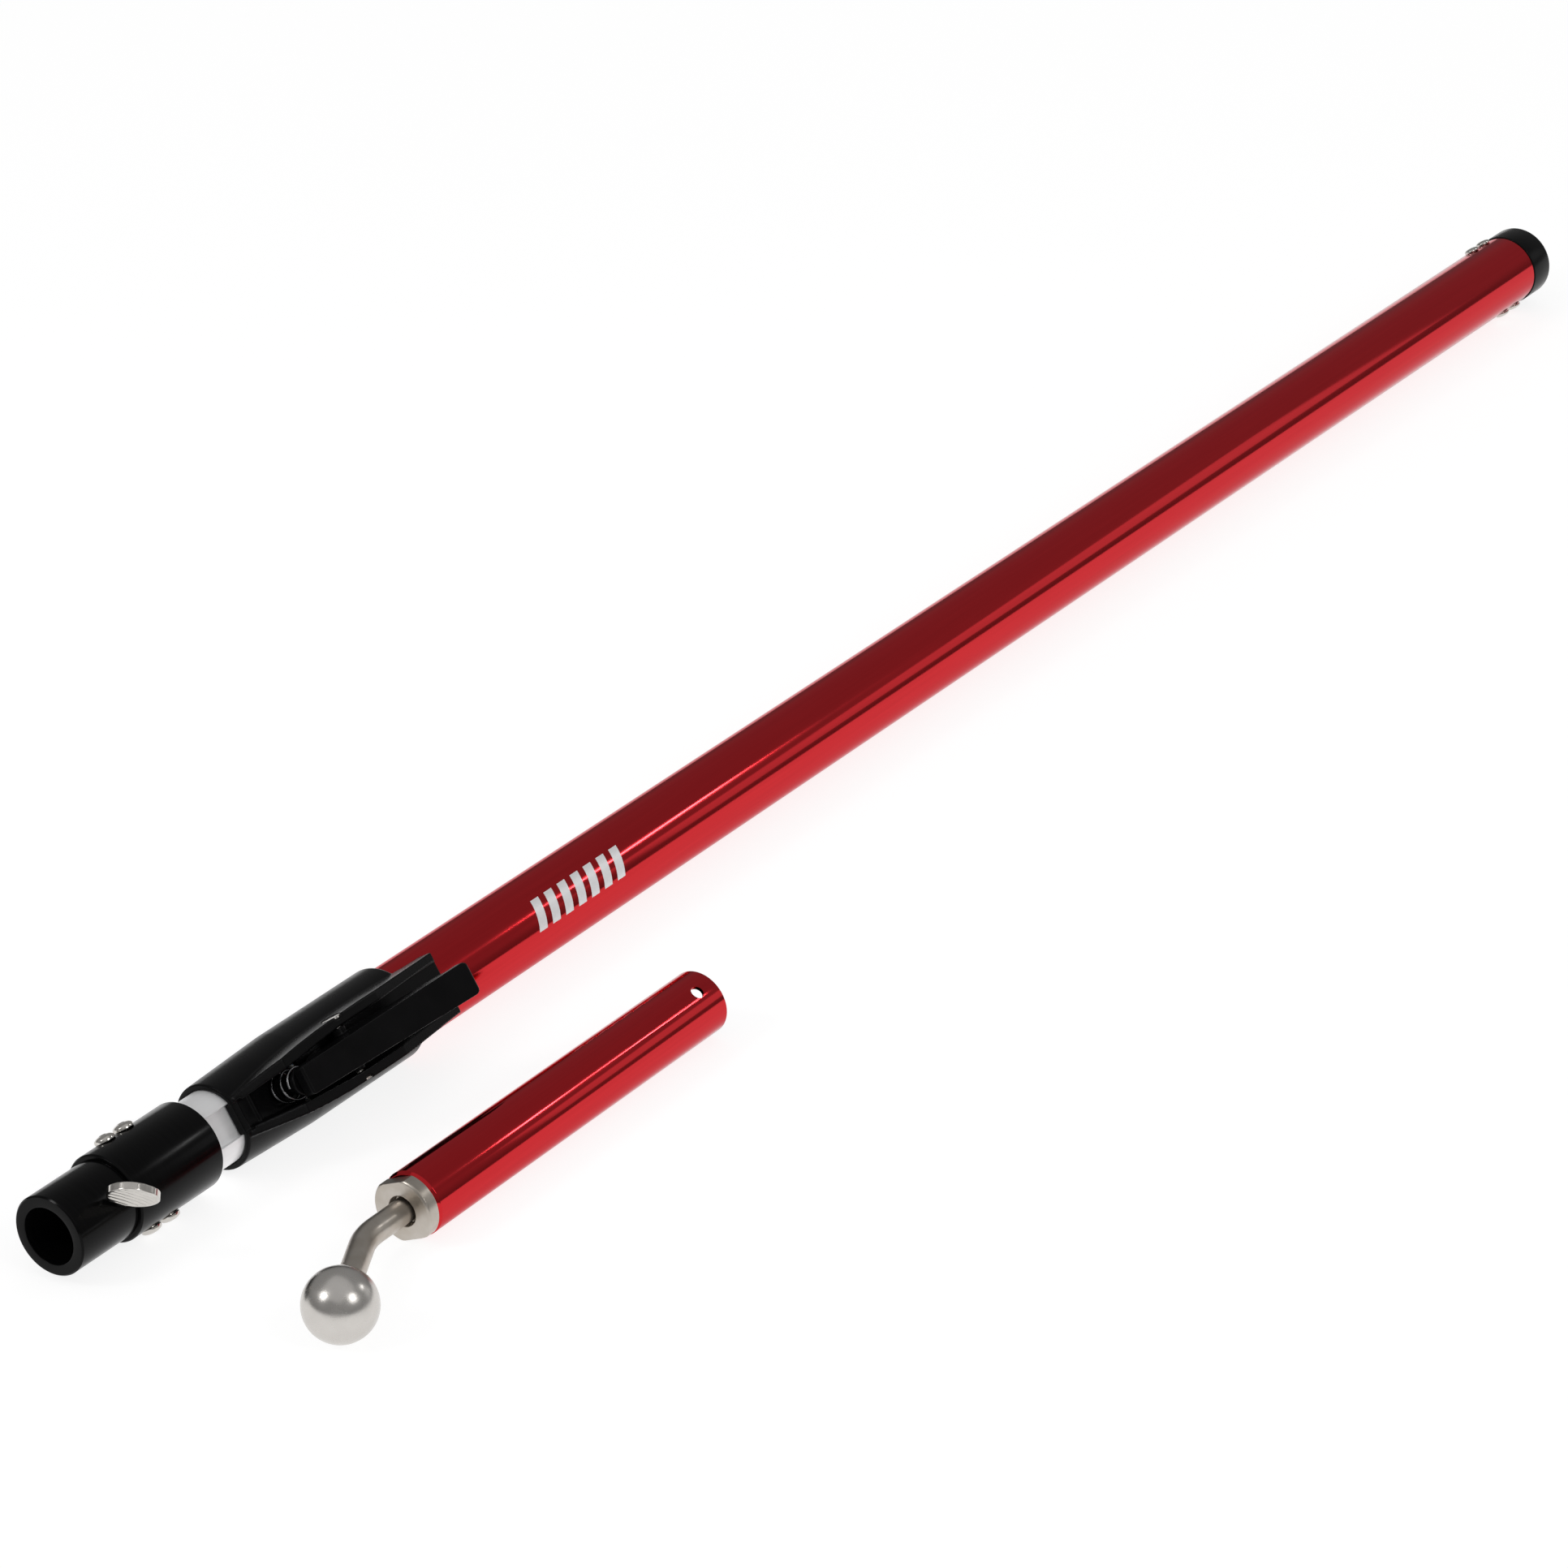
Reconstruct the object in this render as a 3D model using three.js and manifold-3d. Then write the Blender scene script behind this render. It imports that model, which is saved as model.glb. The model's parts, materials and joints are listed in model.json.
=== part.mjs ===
// An extendable tool pole with a brake-lever collar and a tool head with a thumb screw, and beside it a
// loose ball-end adapter. Both lie on one surface. Millimetres, +Z up.
//
// Every pole piece is drawn in the pole frame: x runs along the tube axis from the mouth of the tool
// socket (x = 0) to the end cap, z points through the lever, y to the lever's left. The pole frame is
// then rolled about its axis, because the pole lies with its lever leaning over to one side.
import * as THREE from "three";
import { mergeVertices } from "three/addons/utils/BufferGeometryUtils.js";
import Module from "manifold-3d";

const wasm = await Module();
wasm.setup();

// ---- driving dimensions ----
const SIDES = 40; // facets of a large round
const SMALL_SIDES = 12; // facets of a fastener
const GAP = 0.3; // air kept between neighbouring pieces
const FAR = 60; // reach of a cutting tool past the stock

const POLE = { length: 1049, lean: 56.5 };
const BEVEL = 0.3; // share of an edge radius where its two facets meet
const TUBE = { r: 15.875, wall: 1.2, front: 128, rear: 1033 };
const INNER = { r: 14.3, wall: 1.5, front: 34.3, rear: 860, flat: 10.7, halfFlat: 6.1 };
const HEAD = { noseR: 15.3, noseEdge: 0.6, sleeveR: 16.95, step: 29.3, rear: 73.5 };
const SOCKET = { r: 10.9, depth: 31 };
const WEB_HOLE_R = 8.5; // hole through the web between the socket and the inner tube
const HEAD_SCREW = { xs: [41.9, 51.8], headR: 3.95, headH: 2.4, shankR: 2 };
const RIVET = { xs: [1016.4, 1027], headR: 3.4, headH: 1.6, shankR: 1.9 };
const COLLAR = { front: 87.9, rear: 187.8, frontR: 16.7, r: 18.25, step: 121, taperEnd: 128 };
const COLLAR_EDGE = { front: 0.7, rear: 1.6 };
const EAR = { top: 25.5, tipX: 204.2, tipTop: 17.9, foot: 11.5, startTop: 14.8, peakX: 108.8, fallX: 164 };
const EAR_PLAN = [[88.2, 7.9], [108.8, 10.9], [125, 12.3], [142.4, 12.95], [164, 13.1], [204.2, 12.25]];
const TROUGH_PLAN = [[91, 5.1], [100, 6], [108.8, 6.85], [122, 7.75]];
const SLOT_PLAN = [[121, 7.7], [142.4, 9], [164, 9], [209.2, 9]];
const FLOOR = { front: 13.4, rear: 17.6, rimX: 91, rimTop: 15.1, rimHalf: 6 };
const LEVER = { front: 110, rear: 195.4, frontTop: 31.4, slope: 7.1, plate: 3.4 };
const LEVER_HALF = { front: 5.45, rear: 6.5 };
const LEVER_WEB = { inside: 4.4, bossR: 3.2, bossHalf: 8.6, tailR: 3, tail: 8, endWall: 4 };
const PIN = { x: 142.4, z: 21.5, r: 2, headR: 3.6, headH: 1, seat: 11.8, clip: 0.7 };
const PLUNGER = { x: 113, r: 3.2, baseR: 4.6, base: 2, pad: 2, headR: 5, top: 26.2, headH: 1.5 };
const THUMB = { x: 20, turn: -41, shankR: 2.5, flangeR: 3.7, flange: 1.6, base: 15.7 };
const PADDLE = { half: 9.3, low: 17.6, top: 34.6, cornerR: 8.2, halfThick: 1.4, neckHalf: 5.5, neckTop: 21 };
const CAP = { r: 16.15, spigot: 30, bottom: 6, wall: 3, edge: 2.4 };
const FASTENER = { rivetDepth: 5, screwDepth: 4.4, lift: 0.1 };
const GUIDE = { depth: 18, rim: 6, holeR: 5 };
const LEVER_SPRING = { x: 172, high: 35.3, meanR: 3.6, wireR: 0.5, turns: 4 };
const PLUNGER_SPRING = { high: 24.4, meanR: 5.6, wireR: 0.5, turns: 2.5 };

const ADAPTER = { r: 12.5, wall: 1.4, length: 178.2, aside: 83.5, frontX: 89 };
const PLUG = { r: 12.4, edge: 0.6, flange: 5.3, halfFlats: 10.8, turn: 25.5, spigotR: 10.8, spigotEnd: 22 };
const PLUG_BORE = { mouthR: 5.8, mouthDepth: 4, r: 5 };
const ROD = { r: 4.7, tail: 40, straight: 20.8, bend: 27.6, reach: 44.9, bendR: 24 };
const BALL = { r: 13.6, socket: 7 };
const CROSS_HOLE = { r: 2.6, fromEnd: 10, elevation: 60 };
const ROD_NUT = { washerR: 9, washer: 1.5, r: 8.6, height: 7 };

// ---- geometry helpers ----
const rad = THREE.MathUtils.degToRad;
const v2 = (pair) => new THREE.Vector2(pair[0], pair[1]);

// A rectangle with round corners, from -half to half and from low to high.
function roundedBar(half, low, high, r) {
  const STEPS = 4;
  const points = [];
  const corners = [[half - r, high - r], [r - half, high - r], [r - half, low + r], [half - r, low + r]];
  corners.forEach(([x, z], quarter) => {
    for (let i = 0; i <= STEPS; i++) {
      const a = (Math.PI / 2) * (quarter + i / STEPS);
      points.push([x + r * Math.cos(a), z + r * Math.sin(a)]);
    }
  });
  return points;
}

// A closed three.js geometry as a solid.
function solid(geometry) {
  const bare = geometry.index ? geometry.toNonIndexed() : geometry.clone();
  bare.deleteAttribute("normal");
  bare.deleteAttribute("uv");
  const merged = mergeVertices(bare, 1e-4);
  return new wasm.Manifold(
    new wasm.Mesh({
      numProp: 3,
      vertProperties: new Float32Array(merged.attributes.position.array),
      triVerts: new Uint32Array(merged.index.array),
    }),
  );
}

// A solid of revolution about the x axis, from its outline of [x, radius] points.
function turned(outline, sides = SIDES) {
  const loop = outline.map(([x, r]) => new THREE.Vector2(r, x));
  if (THREE.ShapeUtils.area(loop) > 0) loop.reverse();
  loop.push(loop[0].clone());
  const lathe = new THREE.LatheGeometry(loop.reverse(), sides);
  return solid(lathe.rotateZ(-Math.PI / 2));
}

// A ring or tube about the x axis.
const ring = (x0, x1, inner, outer, sides = SIDES) =>
  turned([[x0, inner], [x0, outer], [x1, outer], [x1, inner]], sides);

// A plain cylinder about the x axis, moved to a point and swung to stand along a direction.
function rod(from, to, r, sides = SMALL_SIDES) {
  const a = new THREE.Vector3(...from);
  const b = new THREE.Vector3(...to);
  const bar = new THREE.CylinderGeometry(r, r, a.distanceTo(b), sides);
  bar.applyQuaternion(
    new THREE.Quaternion().setFromUnitVectors(
      new THREE.Vector3(0, 1, 0),
      b.clone().sub(a).normalize(),
    ),
  );
  const middle = a.add(b).multiplyScalar(0.5);
  return solid(bar.translate(middle.x, middle.y, middle.z));
}

// A plan outline of [x, y] points raised from one height to another.
function raised(outline, low, high) {
  const shape = new THREE.Shape(outline.map(v2));
  const block = new THREE.ExtrudeGeometry(shape, { depth: high - low, bevelEnabled: false });
  return solid(block.translate(0, 0, low));
}

// A side profile of [x, z] points spread across y.
function spread(profile, halfWidth) {
  const shape = new THREE.Shape(profile.map(v2));
  const block = new THREE.ExtrudeGeometry(shape, { depth: 2 * halfWidth, bevelEnabled: false });
  return solid(block.rotateX(Math.PI / 2).translate(0, halfWidth, 0));
}

// A plan outline symmetrical about y = 0, from [x, half width] points joined by a smooth curve.
function mirrored(edge, steps = 16) {
  const side = new THREE.SplineCurve(edge.map(v2)).getPoints(steps);
  const left = side.map((p) => [p.x, p.y]);
  const right = side.map((p) => [p.x, -p.y]).reverse();
  return [...left, ...right];
}

// A coil spring standing along z.
function coil({ x, low, high, meanR, wireR, turns, stepsPerTurn = 10 }) {
  class Helix extends THREE.Curve {
    getPoint(t, target = new THREE.Vector3()) {
      const angle = 2 * Math.PI * turns * t;
      return target.set(
        x + meanR * Math.cos(angle),
        meanR * Math.sin(angle),
        low + wireR + (high - low - 2 * wireR) * t,
      );
    }
  }
  const section = new THREE.Shape().absarc(0, 0, wireR, 0, 2 * Math.PI);
  return new THREE.ExtrudeGeometry(section, {
    extrudePath: new Helix(),
    steps: Math.round(turns * stepsPerTurn),
    curveSegments: 3,
    bevelEnabled: false,
  });
}

// A domed fastener along the x axis: its head outside the origin, its shank running to -x.
function fastener({ headR, headH, shankR }, depth) {
  const dome = [];
  const STEPS = 3;
  for (let i = 0; i <= STEPS; i++) {
    const a = (Math.PI / 2) * (i / STEPS);
    dome.push([headH * (0.35 + 0.65 * Math.sin(a)), headR * Math.cos(a)]);
  }
  dome[STEPS][1] = 0;
  return turned([[-depth, 0], [-depth, shankR], [0, shankR], [0, headR], ...dome], SMALL_SIDES);
}

// ---- materials ----
const finish = (color, roughness, metalness) =>
  new THREE.MeshStandardMaterial({ color, roughness, metalness });
const RED = finish(0xa10f1a, 0.28, 0.85);
const SPRING_STEEL = finish(0x2a2a2c, 0.3, 1);
const POLISHED_STEEL = finish(0xbdb8b0, 0.18, 1);
const BLACK_METAL = finish(0x101012, 0.3, 0.7);
const BLACK_PLASTIC = finish(0x151516, 0.5, 0);
const SILVER = finish(0xdcdde0, 0.4, 0.9);
const STEEL = finish(0xb0a89f, 0.35, 1);
const NICKEL = finish(0xcfcac4, 0.22, 1);
const NYLON = finish(0xe6e4dc, 0.6, 0);
const RUBBER = finish(0x1c1c1c, 0.85, 0);

// A named mesh from a solid or from a geometry that is closed already.
function piece(name, shape, material) {
  let geometry = shape;
  if (!shape.isBufferGeometry) {
    const mesh = shape.getMesh();
    geometry = new THREE.BufferGeometry();
    geometry.setAttribute("position", new THREE.BufferAttribute(mesh.vertProperties, 3));
    geometry.setIndex(new THREE.BufferAttribute(mesh.triVerts, 1));
    geometry.computeVertexNormals();
  }
  const made = new THREE.Mesh(geometry, material);
  made.name = name;
  return made;
}

// ---- outer pole ----
// The holes that cross a tube from side to side, one pair for each place along it.
function sideHoles(xs, r) {
  return xs.map((x) => rod([x, -FAR, 0], [x, FAR, 0], r)).reduce((all, one) => all.add(one));
}

// Fasteners on both sides of a round, each with its head on the surface.
function sideFasteners(name, spec, seatR, depth, material) {
  const group = new THREE.Group();
  let number = 0;
  for (const side of [1, -1]) {
    for (const x of spec.xs) {
      number += 1;
      const one = piece(`${name}_${number}`, fastener(spec, depth), material);
      one.position.set(x, side * seatR, 0);
      one.rotation.z = side * (Math.PI / 2);
      group.add(one);
    }
  }
  return group;
}

function outerTube() {
  const tube = ring(TUBE.front, TUBE.rear, TUBE.r - TUBE.wall, TUBE.r);
  return tube.subtract(sideHoles(RIVET.xs, RIVET.shankR + GAP));
}

// The end plug: a rounded cap over the tube's end and a hollow spigot inside it.
function endCap() {
  const seat = TUBE.rear + GAP;
  const spigotR = TUBE.r - TUBE.wall - GAP;
  const hollowR = spigotR - CAP.wall;
  const edge = CAP.edge;
  const outline = [
    [seat - CAP.spigot, hollowR],
    [seat - CAP.spigot, spigotR],
    [seat, spigotR],
    [seat, CAP.r],
    [POLE.length - edge, CAP.r],
    [POLE.length - BEVEL * edge, CAP.r - BEVEL * edge],
    [POLE.length, CAP.r - edge],
    [POLE.length, 0],
    [POLE.length - CAP.bottom, 0],
    [POLE.length - CAP.bottom, hollowR],
  ];
  return turned(outline).subtract(sideHoles(RIVET.xs, RIVET.shankR + GAP));
}

// The bore that carries the inner tube, with the key that stands in the tube's channel.
function keyedBore() {
  const boreR = INNER.r + GAP;
  const keyHalf = INNER.halfFlat - GAP;
  const keyFloor = INNER.flat + GAP;
  const bore = rod([COLLAR.front - FAR, 0, 0], [COLLAR.step + 1, 0, 0], boreR, SIDES);
  const start = COLLAR.front - FAR;
  const end = COLLAR.step + FAR;
  const keyPlan = [[start, -keyHalf], [end, -keyHalf], [end, keyHalf], [start, keyHalf]];
  return bore.subtract(raised(keyPlan, keyFloor, FAR));
}

function lockCollar() {
  const barrel = turned([
    [COLLAR.front, 0],
    [COLLAR.front, COLLAR.frontR - COLLAR_EDGE.front],
    [COLLAR.front + COLLAR_EDGE.front, COLLAR.frontR],
    [COLLAR.taperEnd, COLLAR.r],
    [COLLAR.rear - COLLAR_EDGE.rear, COLLAR.r],
    [COLLAR.rear - BEVEL * COLLAR_EDGE.rear, COLLAR.r - BEVEL * COLLAR_EDGE.rear],
    [COLLAR.rear, COLLAR.r - COLLAR_EDGE.rear],
    [COLLAR.rear, 0],
  ]);
  const earProfile = [
    [COLLAR.front + 0.3, EAR.foot],
    [COLLAR.front + 0.3, EAR.startTop],
    [EAR.peakX - 0.8, EAR.top - 1],
    [EAR.peakX + 0.6, EAR.top - 0.3],
    [EAR.fallX - 1.5, EAR.top],
    [EAR.fallX + 1.5, EAR.top - 0.3],
    [EAR.tipX, EAR.tipTop],
    [EAR.tipX, EAR.foot],
  ];
  const saddle = raised(mirrored(EAR_PLAN), 0, FAR).intersect(spread(earProfile, FAR));
  const trough = raised(mirrored(TROUGH_PLAN), FLOOR.front, FAR);
  const slot = raised(mirrored(SLOT_PLAN), FLOOR.rear, FAR);
  const rimEnd = FLOOR.rimX + 1;
  const rimHalf = FLOOR.rimHalf;
  const rimPlan = [[0, -rimHalf], [rimEnd, -rimHalf], [rimEnd, rimHalf], [0, rimHalf]];
  const rimCut = raised(rimPlan, FLOOR.rimTop, FAR);
  const tubeBore = rod([COLLAR.step, 0, 0], [EAR.tipX + 5, 0, 0], TUBE.r + GAP, SIDES);
  const pinHole = rod([PIN.x, -FAR, PIN.z], [PIN.x, FAR, PIN.z], PIN.r + GAP);
  const pinRecess = [1, -1].map((side) =>
    rod([PIN.x, side * (PIN.seat - GAP), PIN.z], [PIN.x, side * FAR, PIN.z], PIN.headR + GAP, 20),
  );
  const plungerHole = rod([PLUNGER.x, 0, 0], [PLUNGER.x, 0, FAR], PLUNGER.baseR + GAP, 24);
  return barrel
    .add(saddle)
    .subtract(trough)
    .subtract(slot)
    .subtract(rimCut)
    .subtract(keyedBore())
    .subtract(tubeBore)
    .subtract(pinHole)
    .subtract(pinRecess[0])
    .subtract(pinRecess[1])
    .subtract(plungerHole);
}

// The lever's pin, its head on the left, its end held by a push-on clip.
function leverPin() {
  const head = rod([PIN.x, PIN.seat, PIN.z], [PIN.x, PIN.seat + PIN.headH, PIN.z], PIN.headR, 20);
  const shank = rod([PIN.x, -PIN.seat - PIN.headH, PIN.z], [PIN.x, PIN.seat, PIN.z], PIN.r);
  return shank.add(head);
}

function pinClip() {
  const disc = rod([PIN.x, -PIN.seat - PIN.clip, PIN.z], [PIN.x, -PIN.seat, PIN.z], PIN.headR, 20);
  const hole = rod([PIN.x, -FAR, PIN.z], [PIN.x, 0, PIN.z], PIN.r + GAP);
  return disc.subtract(hole);
}

// ---- brake lever and plunger ----
const leverTop = (x) => LEVER.frontTop + Math.tan(rad(LEVER.slope)) * (x - LEVER.front);

function brakeLever() {
  const under = (x) => leverTop(x) - LEVER.plate;
  const seat = PLUNGER.top + GAP;
  const webFront = PLUNGER.x + PLUNGER.headR + 1.5;
  const bossR = PIN.z - FLOOR.rear - GAP;
  const profile = [
    [LEVER.front + 0.6, seat],
    [LEVER.front - 0.1, seat + 0.9],
    [LEVER.front - 0.1, LEVER.frontTop - 0.8],
    [LEVER.front + 0.8, leverTop(LEVER.front + 0.8)],
    [LEVER.rear - 0.9, leverTop(LEVER.rear - 0.9)],
    [LEVER.rear, leverTop(LEVER.rear) - 1],
    [LEVER.rear - 0.3, under(LEVER.rear) + 0.4],
    [LEVER.rear - LEVER_WEB.tail, under(LEVER.rear - LEVER_WEB.tail)],
    [LEVER.rear - LEVER_WEB.tail - 2, under(LEVER.rear - LEVER_WEB.tail) - 2],
    [PIN.x + 2, PIN.z - bossR + 0.5],
    [PIN.x - 1, PIN.z - bossR],
    [130, PIN.z - bossR + 0.4],
    [webFront + 1.5, 23],
    [webFront, seat],
  ];
  const body = raised(leverPlan(), 0, FAR).intersect(spread(profile, FAR));
  const bossEnd = (side) => [PIN.x, side * LEVER_WEB.bossHalf, PIN.z];
  const boss = rod(bossEnd(-1), bossEnd(1), LEVER_WEB.bossR, 24);
  const belly = [
    [webFront + 1.6, 0],
    [webFront + 1.6, under(webFront + 1.6)],
    [LEVER.rear - LEVER_WEB.endWall, under(LEVER.rear - LEVER_WEB.endWall)],
    [LEVER.rear - LEVER_WEB.endWall, 0],
  ];
  return body
    .add(boss)
    .subtract(spread(belly, LEVER_WEB.inside))
    .subtract(rod([PIN.x, -FAR, PIN.z], [PIN.x, FAR, PIN.z], PIN.r + GAP));
}

// The lever from above: nearly straight sides, broken corners in front, round corners at the tail.
function leverPlan() {
  const STEPS = 6;
  const r = LEVER_WEB.tailR;
  const corner = [];
  for (let i = 0; i <= STEPS; i++) {
    const a = (Math.PI / 2) * (1 - i / STEPS);
    corner.push([LEVER.rear - r + r * Math.cos(a), LEVER_HALF.rear - r + r * Math.sin(a)]);
  }
  const left = [[LEVER.front - 0.1, LEVER_HALF.front - 1], [LEVER.front + 0.9, LEVER_HALF.front], ...corner];
  const right = left.map(([x, y]) => [x, -y]).reverse();
  return [...left, ...right];
}

// The plunger that the lever presses: a headed stem on a base that fills the collar's hole.
function brakePlunger() {
  const z = (low, high, r) => rod([PLUNGER.x, 0, low], [PLUNGER.x, 0, high], r, 24);
  const foot = INNER.flat + GAP + PLUNGER.pad + GAP;
  const stem = z(foot, PLUNGER.top, PLUNGER.r);
  const base = z(foot, foot + PLUNGER.base, PLUNGER.baseR);
  const head = z(PLUNGER.top - PLUNGER.headH, PLUNGER.top, PLUNGER.headR);
  return stem.add(base).add(head);
}

function brakePad() {
  const low = INNER.flat + GAP;
  return rod([PLUNGER.x, 0, low], [PLUNGER.x, 0, low + PLUNGER.pad], PLUNGER.baseR, 24);
}

// ---- inner pole ----
// The extruded tube section: a round with one flat-bottomed channel, the same inside and out.
function channelledRound(r, flat, half) {
  const start = Math.atan2(Math.sqrt(r * r - half * half), half);
  const STEPS = SIDES - 6;
  const points = [];
  for (let i = 0; i <= STEPS; i++) {
    const a = Math.PI - start + ((Math.PI + 2 * start) * i) / STEPS;
    points.push([r * Math.cos(a), r * Math.sin(a)]);
  }
  return [...points, [half, flat], [-half, flat]].map(v2);
}

function innerTube() {
  const shape = new THREE.Shape(channelledRound(INNER.r, INNER.flat, INNER.halfFlat));
  const wall = INNER.wall;
  const hollow = channelledRound(INNER.r - wall, INNER.flat - wall, INNER.halfFlat + 0.5 * wall);
  shape.holes.push(new THREE.Path(hollow));
  const depth = INNER.rear - INNER.front;
  const tube = new THREE.ExtrudeGeometry(shape, { depth, bevelEnabled: false });
  tube.rotateX(Math.PI / 2).rotateZ(Math.PI / 2).translate(INNER.front, 0, 0);
  return solid(tube).subtract(sideHoles(HEAD_SCREW.xs, HEAD_SCREW.shankR + GAP));
}

// The nylon plug in the inner tube's rear end, whose rim runs in the outer tube.
function rearGuidePlug() {
  const rimR = TUBE.r - TUBE.wall - GAP;
  const spigotR = INNER.flat - INNER.wall - GAP;
  const seat = INNER.rear + GAP;
  return turned([
    [seat - GUIDE.depth, GUIDE.holeR],
    [seat - GUIDE.depth, spigotR],
    [seat, spigotR],
    [seat, rimR],
    [seat + GUIDE.rim, rimR],
    [seat + GUIDE.rim, GUIDE.holeR],
  ]);
}

// The tool head: a nose with the socket for a tool's spigot, and a sleeve over the inner tube.
function toolHead() {
  const sleeveBore = INNER.r + GAP;
  const web = INNER.front - GAP;
  const outline = [
    [0, SOCKET.r],
    [0, HEAD.noseR - HEAD.noseEdge],
    [HEAD.noseEdge, HEAD.noseR],
    [HEAD.step, HEAD.noseR],
    [HEAD.step + 0.6, HEAD.sleeveR - 0.7],
    [HEAD.step + 1.3, HEAD.sleeveR],
    [HEAD.rear - 0.5, HEAD.sleeveR],
    [HEAD.rear, HEAD.sleeveR - 0.5],
    [HEAD.rear, sleeveBore],
    [web, sleeveBore],
    [web, WEB_HOLE_R],
    [SOCKET.depth, WEB_HOLE_R],
    [SOCKET.depth, SOCKET.r],
  ];
  const threadHole = rod([THUMB.x, 0, 0], [THUMB.x, 0, FAR], THUMB.shankR + GAP);
  return turned(outline)
    .subtract(sideHoles(HEAD_SCREW.xs, HEAD_SCREW.shankR + GAP))
    .subtract(threadHole);
}

// The spade-headed thumb screw, standing along z at its place, its paddle turned about z.
function thumbScrew() {
  const flangeTop = THUMB.base + THUMB.flange;
  const shank = rod([0, 0, SOCKET.r + GAP], [0, 0, THUMB.base], THUMB.shankR);
  const flange = rod([0, 0, THUMB.base], [0, 0, flangeTop], THUMB.flangeR, 24);
  const neck = [
    [-THUMB.flangeR, flangeTop - GAP],
    [THUMB.flangeR, flangeTop - GAP],
    [PADDLE.neckHalf, PADDLE.neckTop],
    [-PADDLE.neckHalf, PADDLE.neckTop],
  ];
  const paddle = roundedBar(PADDLE.half, PADDLE.low, PADDLE.top, PADDLE.cornerR);
  return shank.add(flange).add(spread(neck, PADDLE.halfThick)).add(spread(paddle, PADDLE.halfThick));
}

// ---- ball-end adapter, in its own frame: x = 0 at the plug's front face ----
function adapterTube() {
  const tube = turned([
    [PLUG.flange + GAP, ADAPTER.r - ADAPTER.wall],
    [PLUG.flange + GAP, ADAPTER.r - 0.8],
    [PLUG.flange + GAP + 0.8, ADAPTER.r],
    [ADAPTER.length, ADAPTER.r],
    [ADAPTER.length, ADAPTER.r - ADAPTER.wall],
  ]);
  const x = ADAPTER.length - CROSS_HOLE.fromEnd;
  const up = rad(CROSS_HOLE.elevation);
  const out = [x, -FAR * Math.cos(up), FAR * Math.sin(up)];
  return tube.subtract(rod([x, 0, 0], out, CROSS_HOLE.r));
}

// The steel plug: a flange with two wrench flats, and a spigot in the tube. The rod passes a wide
// mouth in its front face and then a close bore.
function adapterPlug() {
  const round = turned([
    [0, PLUG_BORE.mouthR],
    [0, PLUG.r - PLUG.edge],
    [PLUG.edge, PLUG.r],
    [PLUG.flange, PLUG.r],
    [PLUG.flange, PLUG.spigotR],
    [PLUG.spigotEnd, PLUG.spigotR],
    [PLUG.spigotEnd, PLUG_BORE.r],
    [PLUG_BORE.mouthDepth, PLUG_BORE.r],
    [PLUG_BORE.mouthDepth, PLUG_BORE.mouthR],
  ]);
  const flangePlan = [[-1, -FAR], [PLUG.flange + GAP / 2, -FAR], [PLUG.flange + GAP / 2, FAR], [-1, FAR]];
  return round
    .subtract(raised(flangePlan, PLUG.halfFlats, FAR))
    .subtract(raised(flangePlan, -FAR, -PLUG.halfFlats))
    .rotate([-PLUG.turn, 0, 0]);
}

// The direction of the rod past its bend: aside by the bend, and up enough to lay ball and tube
// on one surface.
const ballRise = BALL.r - ADAPTER.r;
const bendEnd = new THREE.Vector3(
  -ROD.straight - ROD.reach * Math.cos(rad(ROD.bend)),
  -ROD.reach * Math.sin(rad(ROD.bend)),
  ballRise,
);

function ballRod() {
  const corner = new THREE.Vector3(-ROD.straight, 0, 0);
  const along = bendEnd.clone().sub(corner).normalize();
  const setback = ROD.bendR * Math.tan(rad(ROD.bend) / 2);
  const into = corner.clone().add(new THREE.Vector3(setback, 0, 0));
  const outOf = corner.clone().addScaledVector(along, setback);
  const end = bendEnd.clone().addScaledVector(along, GAP - BALL.socket);
  const path = new THREE.CurvePath();
  path.add(new THREE.LineCurve3(new THREE.Vector3(ROD.tail, 0, 0), into));
  path.add(new THREE.QuadraticBezierCurve3(into, corner, outOf));
  path.add(new THREE.LineCurve3(outOf, end));
  const section = new THREE.Shape().absarc(0, 0, ROD.r, 0, 2 * Math.PI);
  return new THREE.ExtrudeGeometry(section, {
    extrudePath: path,
    steps: 26,
    curveSegments: 6,
    bevelEnabled: false,
  });
}

function ball() {
  const sphere = solid(
    new THREE.SphereGeometry(BALL.r, 28, 18).translate(bendEnd.x, bendEnd.y, bendEnd.z),
  );
  const back = new THREE.Vector3(-ROD.straight, 0, 0).sub(bendEnd).normalize();
  const inner = bendEnd.clone().addScaledVector(back, BALL.socket - 1);
  const mouth = bendEnd.clone().addScaledVector(back, BALL.r + 2);
  return sphere.subtract(rod(inner.toArray(), mouth.toArray(), ROD.r + GAP, 32));
}

// The washer and nut that hold the rod behind the plug.
function rodWasher() {
  const start = PLUG.spigotEnd + GAP;
  return ring(start, start + ROD_NUT.washer, ROD.r + GAP, ROD_NUT.washerR, 32);
}

function rodNut() {
  const start = PLUG.spigotEnd + ROD_NUT.washer + 2 * GAP;
  const hole = rod([start - 1, 0, 0], [start + ROD_NUT.height + 1, 0, 0], ROD.r + GAP, 32);
  const end = start + ROD_NUT.height;
  return turned([[start, 0], [start, ROD_NUT.r], [end, ROD_NUT.r], [end, 0]], 6).subtract(hole);
}

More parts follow.
